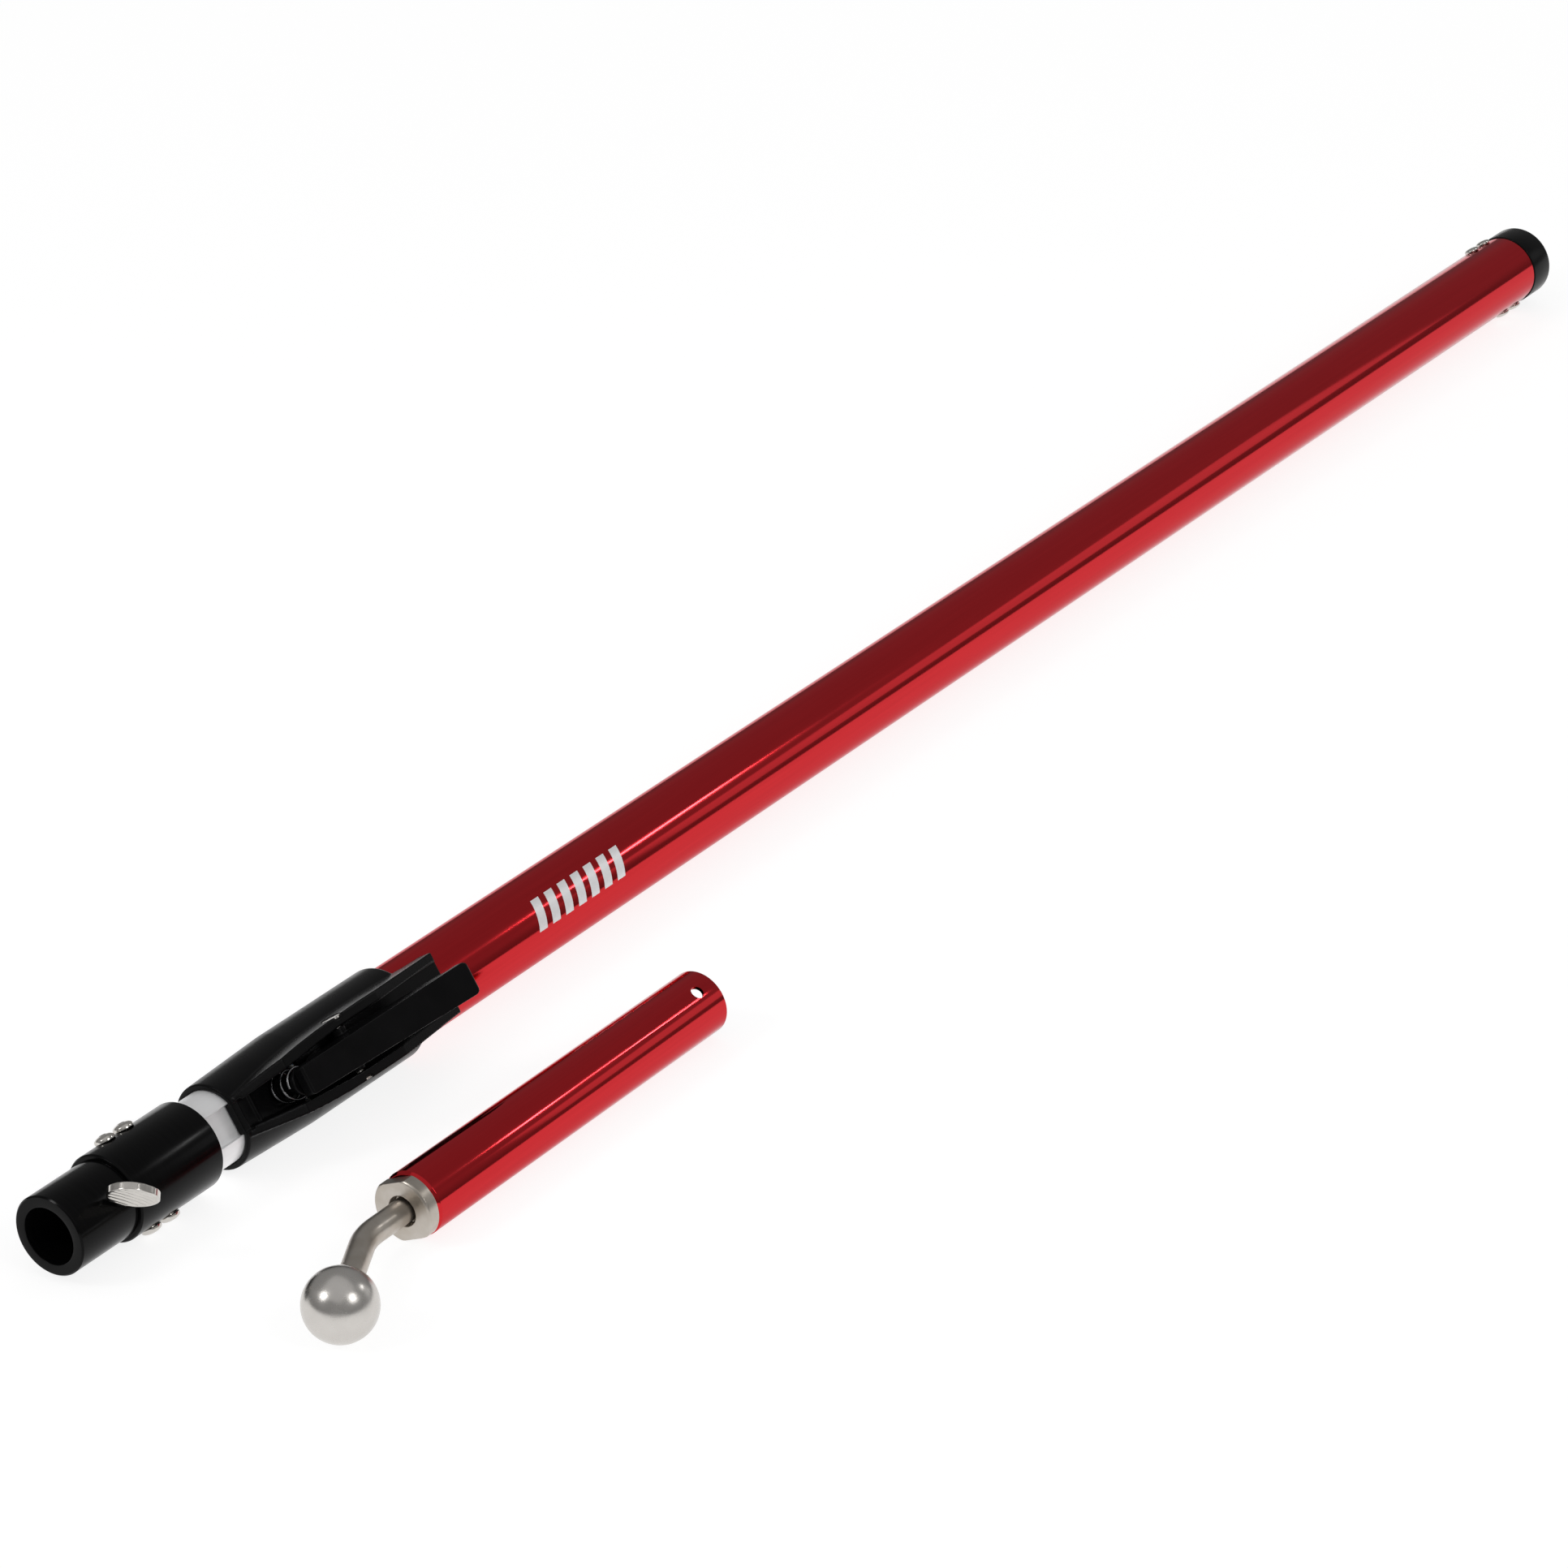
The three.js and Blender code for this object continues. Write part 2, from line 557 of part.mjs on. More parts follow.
// ---- assembly ----
const object = new THREE.Group();
const pole = new THREE.Group();
pole.rotation.x = rad(POLE.lean);
pole.add(
  piece("outer_tube", outerTube(), RED),
  piece("end_cap", endCap(), BLACK_PLASTIC),
  sideFasteners("cap_rivet", RIVET, TUBE.r + FASTENER.lift, FASTENER.rivetDepth, NICKEL),
  piece("lock_collar", lockCollar(), BLACK_PLASTIC),
  piece("front_bush", ring(COLLAR.step + GAP, TUBE.front - GAP, INNER.r + GAP, TUBE.r - 0.05), NYLON),
  piece("lever_pin", leverPin(), NICKEL),
  piece("pin_clip", pinClip(), STEEL),
  piece("lever_spring", coil({ low: FLOOR.rear + GAP, ...LEVER_SPRING }), SPRING_STEEL),
  piece("plunger_spring", coil({ x: PLUNGER.x, low: FLOOR.front + GAP, ...PLUNGER_SPRING }), SPRING_STEEL),
  piece("brake_lever", brakeLever(), BLACK_PLASTIC),
  piece("brake_plunger", brakePlunger(), BLACK_PLASTIC),
  piece("brake_pad", brakePad(), RUBBER),
  piece("inner_tube", innerTube(), SILVER),
  piece("rear_guide_plug", rearGuidePlug(), NYLON),
  piece("tool_head", toolHead(), BLACK_METAL),
  sideFasteners("head_screw", HEAD_SCREW, HEAD.sleeveR + FASTENER.lift, FASTENER.screwDepth, NICKEL),
);
const thumb = piece("thumb_screw", thumbScrew(), NICKEL);
thumb.position.x = THUMB.x;
thumb.rotation.z = rad(THUMB.turn);
pole.add(thumb);
pole.position.z = COLLAR.r;

const adapter = new THREE.Group();
adapter.add(
  piece("adapter_tube", adapterTube(), RED),
  piece("adapter_plug", adapterPlug(), STEEL),
  piece("ball_rod", ballRod(), STEEL),
  piece("ball", ball(), POLISHED_STEEL),
  piece("rod_washer", rodWasher(), STEEL),
  piece("rod_nut", rodNut(), STEEL),
);
adapter.position.set(ADAPTER.frontX, -ADAPTER.aside, ADAPTER.r);
object.add(pole, adapter);

// The origin is the middle of the footprint, on the surface that both items lie on.
const box = new THREE.Box3().setFromObject(object, true);
object.position.set(-(box.min.x + box.max.x) / 2, -(box.min.y + box.max.y) / 2, -box.min.z);

export default object;
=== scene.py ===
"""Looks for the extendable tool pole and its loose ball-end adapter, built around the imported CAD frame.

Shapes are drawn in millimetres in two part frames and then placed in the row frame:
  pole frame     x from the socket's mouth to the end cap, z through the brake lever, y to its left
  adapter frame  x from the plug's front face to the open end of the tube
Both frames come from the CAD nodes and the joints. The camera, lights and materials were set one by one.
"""
import json
import math

import bmesh
import bpy
from mathutils import Matrix, Quaternion, Vector


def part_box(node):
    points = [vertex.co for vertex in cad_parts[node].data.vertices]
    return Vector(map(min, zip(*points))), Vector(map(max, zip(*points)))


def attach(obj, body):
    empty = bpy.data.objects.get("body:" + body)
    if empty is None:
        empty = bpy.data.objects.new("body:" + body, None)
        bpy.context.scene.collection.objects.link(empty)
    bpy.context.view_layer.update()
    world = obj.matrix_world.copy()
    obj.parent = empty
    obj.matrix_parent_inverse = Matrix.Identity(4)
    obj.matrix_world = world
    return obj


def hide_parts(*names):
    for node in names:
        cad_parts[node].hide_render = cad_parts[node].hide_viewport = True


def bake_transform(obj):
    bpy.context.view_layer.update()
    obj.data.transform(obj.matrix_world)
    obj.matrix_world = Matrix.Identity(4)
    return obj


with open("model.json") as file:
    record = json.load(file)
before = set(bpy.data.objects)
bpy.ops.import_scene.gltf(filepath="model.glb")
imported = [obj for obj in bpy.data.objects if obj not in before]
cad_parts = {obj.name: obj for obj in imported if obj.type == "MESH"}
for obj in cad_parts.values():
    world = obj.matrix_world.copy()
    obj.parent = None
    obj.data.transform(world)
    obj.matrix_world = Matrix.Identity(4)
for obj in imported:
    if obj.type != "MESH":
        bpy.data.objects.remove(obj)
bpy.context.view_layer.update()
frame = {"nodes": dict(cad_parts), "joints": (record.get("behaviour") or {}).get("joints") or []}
JOINT = {joint["name"]: joint for joint in frame["joints"]}
MM = 0.001


# ---- frames and sizes, from the CAD ----
def centre(node):
    low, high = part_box(node)
    return (low + high) / 2


def part_frame(x, middle, left, up):
    """The matrix that takes millimetres along, left and up from an axis to metres in the row frame."""
    turn = Matrix((Vector((1, 0, 0)), left, up)).transposed().to_4x4()
    return Matrix.Translation((x, middle.y, middle.z)) @ turn @ Matrix.Scale(MM, 4)


def along(node):
    """A node's first and last x in millimetres, in its own part frame."""
    low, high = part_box(node)
    start = (ADAPTER if node in ADAPTER_NODES else POLE).translation.x
    return (low.x - start) / MM, (high.x - start) / MM


def place(joint):
    """A joint's position in the pole frame, in millimetres."""
    return POLE.inverted() @ Vector(JOINT[joint]["pos_m"])


LEFT = Vector(JOINT["lever_pivot"]["axis"])
UP = Vector(JOINT["plunger_travel"]["axis"])
POLE = part_frame(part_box("tool_head")[0].x, centre("outer_tube"), LEFT, UP)
ADAPTER = part_frame(
    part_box("adapter_plug")[0].x, centre("adapter_tube"), Vector((0, 1, 0)), Vector((0, 0, 1))
)
ADAPTER_NODES = ("adapter_tube", "adapter_plug", "ball_rod", "ball", "rod_washer", "rod_nut")

# Sizes in millimetres. The main ones repeat the CAD's, and the edge radii are these pieces' own.
TUBE_R, TUBE_WALL = 15.875, 1.2
INNER_R, INNER_WALL, FLAT, HALF_FLAT = 14.3, 1.5, 10.7, 6.1
NOSE_R, NOSE_EDGE, NOSE_GROOVE, SLEEVE_R, STEP_X = 15.3, 0.6, 0.35, 16.95, 29.3
BORE_R, BORE_DEPTH, WEB_HOLE_R = 10.9, 31.0, 8.5
COLLAR_R, COLLAR_FRONT_R, COLLAR_REAR, BUSH_X, TAPER_END = 18.25, 16.7, 187.8, 121.0, 128.0
EAR_FOOT = 11.5
EAR_TOP, EAR_PEAK_X, EAR_FALL_X, EAR_TIP_TOP, EAR_START_TOP = 25.5, 108.8, 164.0, 17.9, 14.8
FLOOR_FRONT, FLOOR_REAR, RIM_X, RIM_TOP = 13.4, 17.6, 91.0, 15.1
PIN = place("lever_pivot")
PIN_R, PIN_SEAT, PIN_HEAD_R, PIN_HEAD, PIN_CLIP, PIN_PLAY = 2.0, 11.8, 3.6, 1.0, 0.7, 0.15
LEVER_FRONT_TOP, LEVER_SLOPE, LEVER_PLATE, LEVER_WEB = 31.4, math.tan(math.radians(7.1)), 3.4, 4.4
LEVER_HALF_FRONT, LEVER_HALF_REAR, LEVER_TAIL_R, BOSS_R, BOSS_HALF = 5.45, 6.5, 3.0, 3.2, 8.6
PLUNGER_X, PLUNGER_TOP, PLUNGER_R, PLUNGER_BASE_R, PLUNGER_BASE = 113.0, 26.2, 3.2, 4.6, 2.0
PLUNGER_HEAD_R, PLUNGER_HEAD, PLUNGER_HOLE_R, PAD = 5.0, 1.5, 4.9, 2.0
SPRING_WIRE_R = 0.5
PLUNGER_SPRING_R, PLUNGER_SPRING_TURNS = 5.6, 2.5
LEVER_SPRING_X, LEVER_SPRING_TOP, LEVER_SPRING_R, LEVER_SPRING_TURNS = 172.0, 35.3, 3.6, 6
THUMB = place("thumb_screw_turn")
THUMB_TURN = math.radians(-41)
THUMB_BASE, THUMB_FLANGE, THUMB_FLANGE_R, THUMB_SHANK_R = 15.7, 1.6, 3.7, 2.5
PADDLE_HALF, PADDLE_LOW, PADDLE_TOP, PADDLE_CORNER, PADDLE_THICK = 9.3, 17.6, 34.6, 8.2, 1.4
PADDLE_NECK, PADDLE_NECK_TOP, PADDLE_RIM, PADDLE_DISH = 5.5, 21.0, 0.97, 0.35
RIB_PITCH, RIB_DEPTH = 2.3, 0.34
HEAD_SCREWS, RIVETS = (41.9, 51.8), (1016.4, 1027.0)
HEAD_SCREW_SHAPE = {"head_r": 3.95, "head_h": 2.4, "shank_r": 2, "depth": 3, "socket": 1.5}
RIVET_SHAPE = {"head_r": 3.4, "head_h": 1.6, "shank_r": 1.9, "depth": 4}
FASTENER_LIFT = 0.05
PLUG_R, PLUG_FLANGE, PLUG_FLATS, PLUG_TURN = 12.4, 5.3, 10.8, math.radians(-25.5)
SPIGOT_R, SPIGOT_END, PLUG_MOUTH_DEPTH = 10.8, 22.0, 4.0
PLUG_MOUTH_R, PLUG_BORE_R, ROD_R, ROD_STRAIGHT, ROD_SETBACK = 5.8, 5.0, 4.7, 20.8, 6.2
ADAPTER_R, ADAPTER_WALL, BALL_R, BALL_SOCKET, ROD_PLAY = 12.5, 1.4, 13.6, 6.0, 0.25
CROSS_HOLE_R, CROSS_HOLE_FROM_END, CROSS_HOLE_UP = 2.6, 10.0, math.radians(60)
CAP_R, CAP_SPIGOT, CAP_WALL, CAP_BOTTOM, CAP_EDGE = 16.15, 30.0, 3.0, 6.0, 2.6
MARK_X, MARK_BARS, MARK_PITCH, MARK_BAR, MARK_HEIGHT, MARK_SLANT = 263.0, 7, 8.2, 4.8, 12.0, 3.8
MARK_ANGLE, MARK_STEPS, MARK_DEPTH, MARK_RISE = math.radians(5), 16, 0.2, 0.04
GAP = 0.3
FAR = 60.0


# ---- mesh building ----
def rounded(corners, steps=5):
    """A closed outline from (a, b, radius) corners, each corner turned into an arc."""
    points = []
    for i, (a, b, radius) in enumerate(corners):
        here = Vector((a, b))
        before = Vector(corners[i - 1][:2]) - here
        after = Vector(corners[(i + 1) % len(corners)][:2]) - here
        if radius <= 0:
            points.append((a, b))
            continue
        half = before.angle(after) / 2
        reach = min(radius / math.tan(half), 0.49 * before.length, 0.49 * after.length)
        bend = reach * math.tan(half)
        inward = (before.normalized() + after.normalized()).normalized()
        middle = here + inward * (bend / math.sin(half))
        start = here + before.normalized() * reach - middle
        end = here + after.normalized() * reach - middle
        first = math.atan2(start.y, start.x)
        sweep = math.atan2(end.y, end.x) - first
        sweep = (sweep + math.pi) % (2 * math.pi) - math.pi
        for k in range(steps + 1):
            angle = first + sweep * k / steps
            points.append((middle.x + bend * math.cos(angle), middle.y + bend * math.sin(angle)))
    return points


def lathe(outline, sides=128, lobed=None):
    """A closed outline of (x, radius) points turned about the x axis.
    lobed(index, angle), where given, multiplies the radius of a ring point."""
    verts, rings, faces = [], [], []
    for index, (x, r) in enumerate(outline):
        if r < 1e-6:
            rings.append([len(verts)])
            verts.append((x, 0, 0))
            continue
        rings.append(range(len(verts), len(verts) + sides))
        for i in range(sides):
            angle = 2 * math.pi * i / sides
            size = r * (lobed(index, angle) if lobed else 1)
            verts.append((x, size * math.cos(angle), size * math.sin(angle)))
    for a, b in zip(rings, rings[1:] + rings[:1]):
        if len(a) == 1 and len(b) == 1:
            continue
        for i in range(sides):
            j = (i + 1) % sides
            corners = (a[i % len(a)], b[i % len(b)], b[j % len(b)], a[j % len(a)])
            faces.append(tuple(dict.fromkeys(corners)))
    return verts, faces


def prism(outline, low, high, axis="z"):
    """An outline raised along z, or for axis y an x-z profile spread across y."""
    count = len(outline)
    if axis == "z":
        verts = [(x, y, h) for h in (low, high) for x, y in outline]
    else:
        verts = [(x, h, z) for h in (low, high) for x, z in outline]
    faces = [tuple(range(count)), tuple(reversed(range(count, 2 * count)))]
    faces += [(i, i + count, (i + 1) % count + count, (i + 1) % count) for i in range(count)]
    return verts, faces


def extrusion(outer, inner, x0, x1, edge=0.3):
    """A hollow bar along x between two loops of (y, z) points with the same count, its edges broken."""
    count = len(outer)

    def grown(loop, amount):
        middle = sum((Vector(p) for p in loop), Vector((0, 0))) / count
        return [tuple(Vector(p) + (Vector(p) - middle).normalized() * amount) for p in loop]

    loops = [
        (x0 + edge, outer), (x0, grown(outer, -edge)), (x0, inner), (x1, inner),
        (x1, grown(outer, -edge)), (x1 - edge, outer),
    ]
    verts = [(x, y, z) for x, loop in loops for y, z in loop]
    faces = []
    for k in range(len(loops)):
        a, b = k * count, ((k + 1) % len(loops)) * count
        for i in range(count):
            j = (i + 1) % count
            faces.append((a + i, b + i, b + j, a + j))
    return verts, faces


def sweep(path, radius, sides=16):
    """A round bar along a list of points, with closed ends."""
    points = [Vector(p) for p in path]
    verts, faces = [], []
    normal = Vector((0, 0, 1))
    for i, here in enumerate(points):
        ahead = points[min(i + 1, len(points) - 1)] - points[max(i - 1, 0)]
        ahead.normalize()
        normal = (normal - ahead * normal.dot(ahead)).normalized()
        side = ahead.cross(normal)
        for k in range(sides):
            angle = 2 * math.pi * k / sides
            verts.append(tuple(here + (normal * math.cos(angle) + side * math.sin(angle)) * radius))
    for i in range(len(points) - 1):
        for k in range(sides):
            a, b = i * sides + k, i * sides + (k + 1) % sides
            faces.append((a, b, b + sides, a + sides))
    faces.append(tuple(range(sides)))
    faces.append(tuple(range(len(verts) - sides, len(verts))))
    return verts, faces


def moved(shape, matrix):
    verts, faces = shape
    return [tuple(matrix @ Vector(v)) for v in verts], faces


def joined(*shapes):
    verts, faces = [], []
    for some_verts, some_faces in shapes:
        start = len(verts)
        verts += some_verts
        faces += [tuple(i + start for i in face) for face in some_faces]
    return verts, faces


def bar(start, end, radius, sides=64):
    """A straight cylinder between two points."""
    return sweep([start, end], radius, sides)


def spline(knots, steps=12):
    """A smooth curve through (x, y) knots, as a list of points."""
    points = []
    last = len(knots) - 1
    for i in range(last):
        p = [Vector(knots[max(0, min(last, i + k))]) for k in (-1, 0, 1, 2)]
        for step in range(steps):
            t = step / steps
            value = (
                p[1] * 2 + (p[2] - p[0]) * t
                + (p[0] * 2 - p[1] * 5 + p[2] * 4 - p[3]) * t * t
                + (p[1] * 3 - p[0] - p[2] * 3 + p[3]) * t * t * t
            ) / 2
            points.append(tuple(value))
    return points + [tuple(knots[-1])]


def mirrored(knots):
    """A plan outline symmetrical about y = 0, from (x, half width) knots."""
    side = spline(knots)
    return side + [(x, -y) for x, y in reversed(side)]


def mesh_of(name, shape):
    mesh = bpy.data.meshes.new(name)
    mesh.from_pydata(*[list(part) for part in (shape[0], [], shape[1])])
    work = bmesh.new()
    work.from_mesh(mesh)
    bmesh.ops.remove_doubles(work, verts=work.verts, dist=1e-5)
    bmesh.ops.recalc_face_normals(work, faces=work.faces)
    work.to_mesh(mesh)
    work.free()
    return mesh


def shown(name, shape):
    item = bpy.data.objects.new(name, mesh_of(name, shape))
    bpy.context.scene.collection.objects.link(item)
    return item


def applied(item):
    """The item's mesh with its modifiers applied. The item itself is removed."""
    graph = bpy.context.evaluated_depsgraph_get()
    mesh = bpy.data.meshes.new_from_object(item.evaluated_get(graph))
    bpy.data.objects.remove(item)
    return mesh


def carved(shape, adds=(), cuts=()):
    """A shape with others joined to it and cut from it, as a mesh."""
    base = shown("work", shape)
    tools = []
    for operation, shapes in (("UNION", adds), ("DIFFERENCE", cuts)):
        for one in shapes:
            tool = shown("tool", one)
            tools.append(tool)
            step = base.modifiers.new("cut", "BOOLEAN")
            step.operation = operation
            step.solver = "EXACT"
            step.object = tool
    mesh = applied(base)
    for tool in tools:
        bpy.data.objects.remove(tool)
    return mesh


def moulded(mesh, voxel, smooth=3, keep=0.35):
    """The mesh with every edge softly rounded, as a moulding or casting has them."""
    item = bpy.data.objects.new("work", mesh)
    bpy.context.scene.collection.objects.link(item)
    skin = item.modifiers.new("skin", "REMESH")
    skin.mode = "VOXEL"
    skin.voxel_size = voxel
    relax = item.modifiers.new("relax", "SMOOTH")
    relax.factor = 0.5
    relax.iterations = smooth
    fewer = item.modifiers.new("fewer", "DECIMATE")
    fewer.ratio = keep
    return applied(item)


def piece(name, shape, frame_matrix, body, slot, nodes, crease=32, blend=None):
    """A finished piece: placed in the row frame, shaded, given its material, and tied to the CAD.
    blend, given for a spring, only bakes the placement into the mesh; the body and heights in it are not
    used."""
    mesh = shape if isinstance(shape, bpy.types.Mesh) else mesh_of(name, shape)
    mesh.name = name
    mesh.transform(frame_matrix)
    mesh.materials.clear()
    mesh.materials.append(MATERIAL[slot])
    mesh.polygons.foreach_set("use_smooth", [True] * len(mesh.polygons))
    mesh.set_sharp_from_angle(angle=math.radians(crease))
    item = bpy.data.objects.new(name, mesh)
    bpy.context.scene.collection.objects.link(item)
    if body:
        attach(item, body)
    if nodes:
        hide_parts(*nodes)
    if blend:
        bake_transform(item)
    return item


# ---- materials ----
def finish(name, color, metallic, roughness, **sockets):
    """A material with one Principled shader, and its node tree's helpers."""
    material = bpy.data.materials.new(name)
    material.use_nodes = True
    shader = material.node_tree.nodes["Principled BSDF"]
    shader.inputs["Base Color"].default_value = (*color, 1)
    shader.inputs["Metallic"].default_value = metallic
    shader.inputs["Roughness"].default_value = roughness
    for socket, value in sockets.items():
        shader.inputs[socket.replace("_", " ")].default_value = value
    return material


def textured(material, kind, scale, stretch=(1, 1, 1), detail=3):
    """A texture on the piece's own coordinates, in metres, and the socket with its value."""
    nodes, links = material.node_tree.nodes, material.node_tree.links
    place_node = nodes.new("ShaderNodeTexCoord")
    mapping = nodes.new("ShaderNodeMapping")
    mapping.inputs["Scale"].default_value = stretch
    texture = nodes.new(kind)
    texture.inputs["Scale"].default_value = scale
    if "Detail" in texture.inputs:
        texture.inputs["Detail"].default_value = detail
    links.new(place_node.outputs["Object"], mapping.inputs["Vector"])
    links.new(mapping.outputs["Vector"], texture.inputs["Vector"])
    return texture.outputs[0]


def ramped(material, value, low, high, socket, start=0.3, end=0.7):
    """Drives a shader socket from a texture value, between two numbers or two colours."""
    nodes, links = material.node_tree.nodes, material.node_tree.links
    shader = nodes["Principled BSDF"]
    if isinstance(low, tuple):
        ramp = nodes.new("ShaderNodeValToRGB")
        ramp.color_ramp.elements[0].position = start
        ramp.color_ramp.elements[0].color = (*low, 1)
        ramp.color_ramp.elements[1].position = end
        ramp.color_ramp.elements[1].color = (*high, 1)
        links.new(value, ramp.inputs["Fac"])
        links.new(ramp.outputs["Color"], shader.inputs[socket])
        return
    ramp = nodes.new("ShaderNodeMapRange")
    for name, number in (("From Min", start), ("From Max", end), ("To Min", low), ("To Max", high)):
        ramp.inputs[name].default_value = number
    links.new(value, ramp.inputs["Value"])
    links.new(ramp.outputs["Result"], shader.inputs[socket])


def bumped(material, value, strength, distance):
    nodes, links = material.node_tree.nodes, material.node_tree.links
    bump = nodes.new("ShaderNodeBump")
    bump.inputs["Strength"].default_value = strength
    bump.inputs["Distance"].default_value = distance
    shader = nodes["Principled BSDF"]
    if shader.inputs["Normal"].is_linked:
        links.new(shader.inputs["Normal"].links[0].from_socket, bump.inputs["Normal"])
    links.new(value, bump.inputs["Height"])
    links.new(bump.outputs["Normal"], shader.inputs["Normal"])


NOISE = "ShaderNodeTexNoise"


def red_anodised():
    made = finish("red_anodised", (0.56, 0.010, 0.016), 1.0, 0.11, Coat_Weight=0.34,
                  Coat_Roughness=0.1, Specular_Tint=(0.8, 0.42, 0.45, 1))
    drawn = textured(made, NOISE, 900, (0.02, 1, 1))
    ramped(made, drawn, (0.54, 0.009, 0.015), (0.58, 0.011, 0.017), "Base Color")
    ramped(made, textured(made, NOISE, 60), 0.09, 0.12, "Roughness")
    bumped(made, drawn, 0.03, 0.00001)
    return made


def black_plastic():
    made = finish("black_plastic", (0.004, 0.004, 0.0042), 0.0, 0.24, Specular_IOR_Level=0.09)
    grain = textured(made, NOISE, 1800, detail=4)
    ramped(made, textured(made, NOISE, 90), (0.003, 0.003, 0.0032), (0.005, 0.005, 0.0053), "Base Color")
    ramped(made, textured(made, NOISE, 140), 0.2, 0.28, "Roughness")
    bumped(made, grain, 0.08, 0.00003)
    return made


def black_anodised():
    made = finish("black_anodised", (0.002, 0.002, 0.0021), 0.0, 0.18, Specular_IOR_Level=0.09)
    turned = textured(made, NOISE, 1200, (1, 0.05, 0.05))
    ramped(made, turned, (0.0015, 0.0015, 0.0016), (0.003, 0.003, 0.0032), "Base Color")
    ramped(made, textured(made, NOISE, 80), 0.14, 0.22, "Roughness")
    bumped(made, turned, 0.06, 0.00003)
    return made


def clear_anodised():
    made = finish("clear_anodised", (0.96, 0.96, 0.965), 0.25, 0.38)
    drawn = textured(made, NOISE, 700, (0.01, 1, 1))
    ramped(made, drawn, (0.945, 0.945, 0.95), (0.975, 0.975, 0.98), "Base Color")
    ramped(made, drawn, 0.36, 0.41, "Roughness")
    return made


def nickel():
    made = finish("nickel", (0.60, 0.575, 0.54), 1.0, 0.18)
    ramped(made, textured(made, NOISE, 300), (0.58, 0.555, 0.52), (0.62, 0.595, 0.56), "Base Color")
    ramped(made, textured(made, NOISE, 500), 0.13, 0.19, "Roughness")
    return made


def steel():
    made = finish("steel", (0.50, 0.46, 0.41), 1.0, 0.34)
    ramped(made, textured(made, NOISE, 120), (0.44, 0.395, 0.34), (0.54, 0.50, 0.455), "Base Color")
    ramped(made, textured(made, NOISE, 300), 0.3, 0.4, "Roughness")
    bumped(made, textured(made, NOISE, 1200), 0.05, 0.00003)
    return made


def polished_steel():
    made = finish("polished_steel", (0.60, 0.575, 0.545), 1.0, 0.27)
    ramped(made, textured(made, NOISE, 90), (0.57, 0.545, 0.515), (0.63, 0.605, 0.575), "Base Color")
    ramped(made, textured(made, NOISE, 150, detail=5), 0.22, 0.32, "Roughness")
    return made


def spring_steel():
    made = finish("spring_steel", (0.22, 0.22, 0.225), 1.0, 0.22)
    ramped(made, textured(made, NOISE, 600), (0.18, 0.18, 0.185), (0.26, 0.26, 0.265), "Base Color")
    ramped(made, textured(made, NOISE, 900), 0.2, 0.32, "Roughness")
    return made


def nylon():
    made = finish("nylon", (0.75, 0.74, 0.70), 0.0, 0.5, Subsurface_Weight=0.1)
    ramped(made, textured(made, NOISE, 300), 0.42, 0.6, "Roughness")
    return made


def rubber():
    made = finish("rubber", (0.02, 0.02, 0.02), 0.0, 0.8)
    ramped(made, textured(made, NOISE, 400), 0.7, 0.95, "Roughness")
    bumped(made, textured(made, NOISE, 2500), 0.3, 0.0001)
    return made


MATERIAL = {
    make.__name__: make()
    for make in (
        red_anodised, black_plastic, black_anodised, clear_anodised, nickel, steel, polished_steel,
        spring_steel, nylon, rubber,
    )
}


# ---- outer pole ----
def outer_tube():
    front, rear = along("outer_tube")
    bore_r = TUBE_R - TUBE_WALL
    outline = rounded([
        (front, bore_r, 0.2), (front, TUBE_R, 0.3), (rear, TUBE_R, 0.3), (rear, bore_r, 0.2),
    ])
    piece("outer_tube_skin", lathe(outline, 192), POLE, "outer_pole", "red_anodised", ["outer_tube"])


def tube_mark():
    """A generic mark on the tube in bare metal: a row of slanted bars."""
    low, high = TUBE_R - MARK_DEPTH, TUBE_R + MARK_RISE
    section = ((0, low), (0, high), (MARK_BAR, high), (MARK_BAR, low))
    verts, faces = [], []
    for index in range(MARK_BARS):
        start = len(verts)
        last = start + 4 * MARK_STEPS
        x = MARK_X + index * MARK_PITCH
        for step in range(MARK_STEPS + 1):
            along_arc = step / MARK_STEPS
            angle = MARK_ANGLE + (along_arc - 0.5) * MARK_HEIGHT / TUBE_R
            slant = (along_arc - 0.5) * MARK_SLANT
            for dx, r in section:
                verts.append((x + slant + dx, r * math.sin(angle), r * math.cos(angle)))
        faces.append(tuple(start + k for k in range(4)))
        faces.append(tuple(last + k for k in (3, 2, 1, 0)))
        for row in range(start, last, 4):
            faces += [(row + k, row + (k + 1) % 4, row + 4 + (k + 1) % 4, row + 4 + k) for k in range(4)]
    piece("tube_mark", (verts, faces), POLE, "outer_pole", "clear_anodised", [])


def end_cap():
    seat = along("outer_tube")[1] + GAP
    rear = along("end_cap")[1]
    start = seat - CAP_SPIGOT
    spigot_r = TUBE_R - TUBE_WALL - GAP
    inside_r = spigot_r - CAP_WALL
    outline = rounded([
        (start, inside_r, 0.3), (start, spigot_r, 0.4), (seat, spigot_r, 0), (seat, CAP_R, 0.5),
        (rear, CAP_R, CAP_EDGE), (rear, CAP_R - 5, 0), (rear - 0.4, CAP_R - 5.6, 0.3), (rear - 0.4, 0, 0),
        (rear - CAP_BOTTOM, 0, 0), (rear - CAP_BOTTOM, inside_r, 0.5),
    ])
    piece("end_cap_skin", lathe(outline, 160), POLE, "outer_pole", "black_plastic", ["end_cap"])


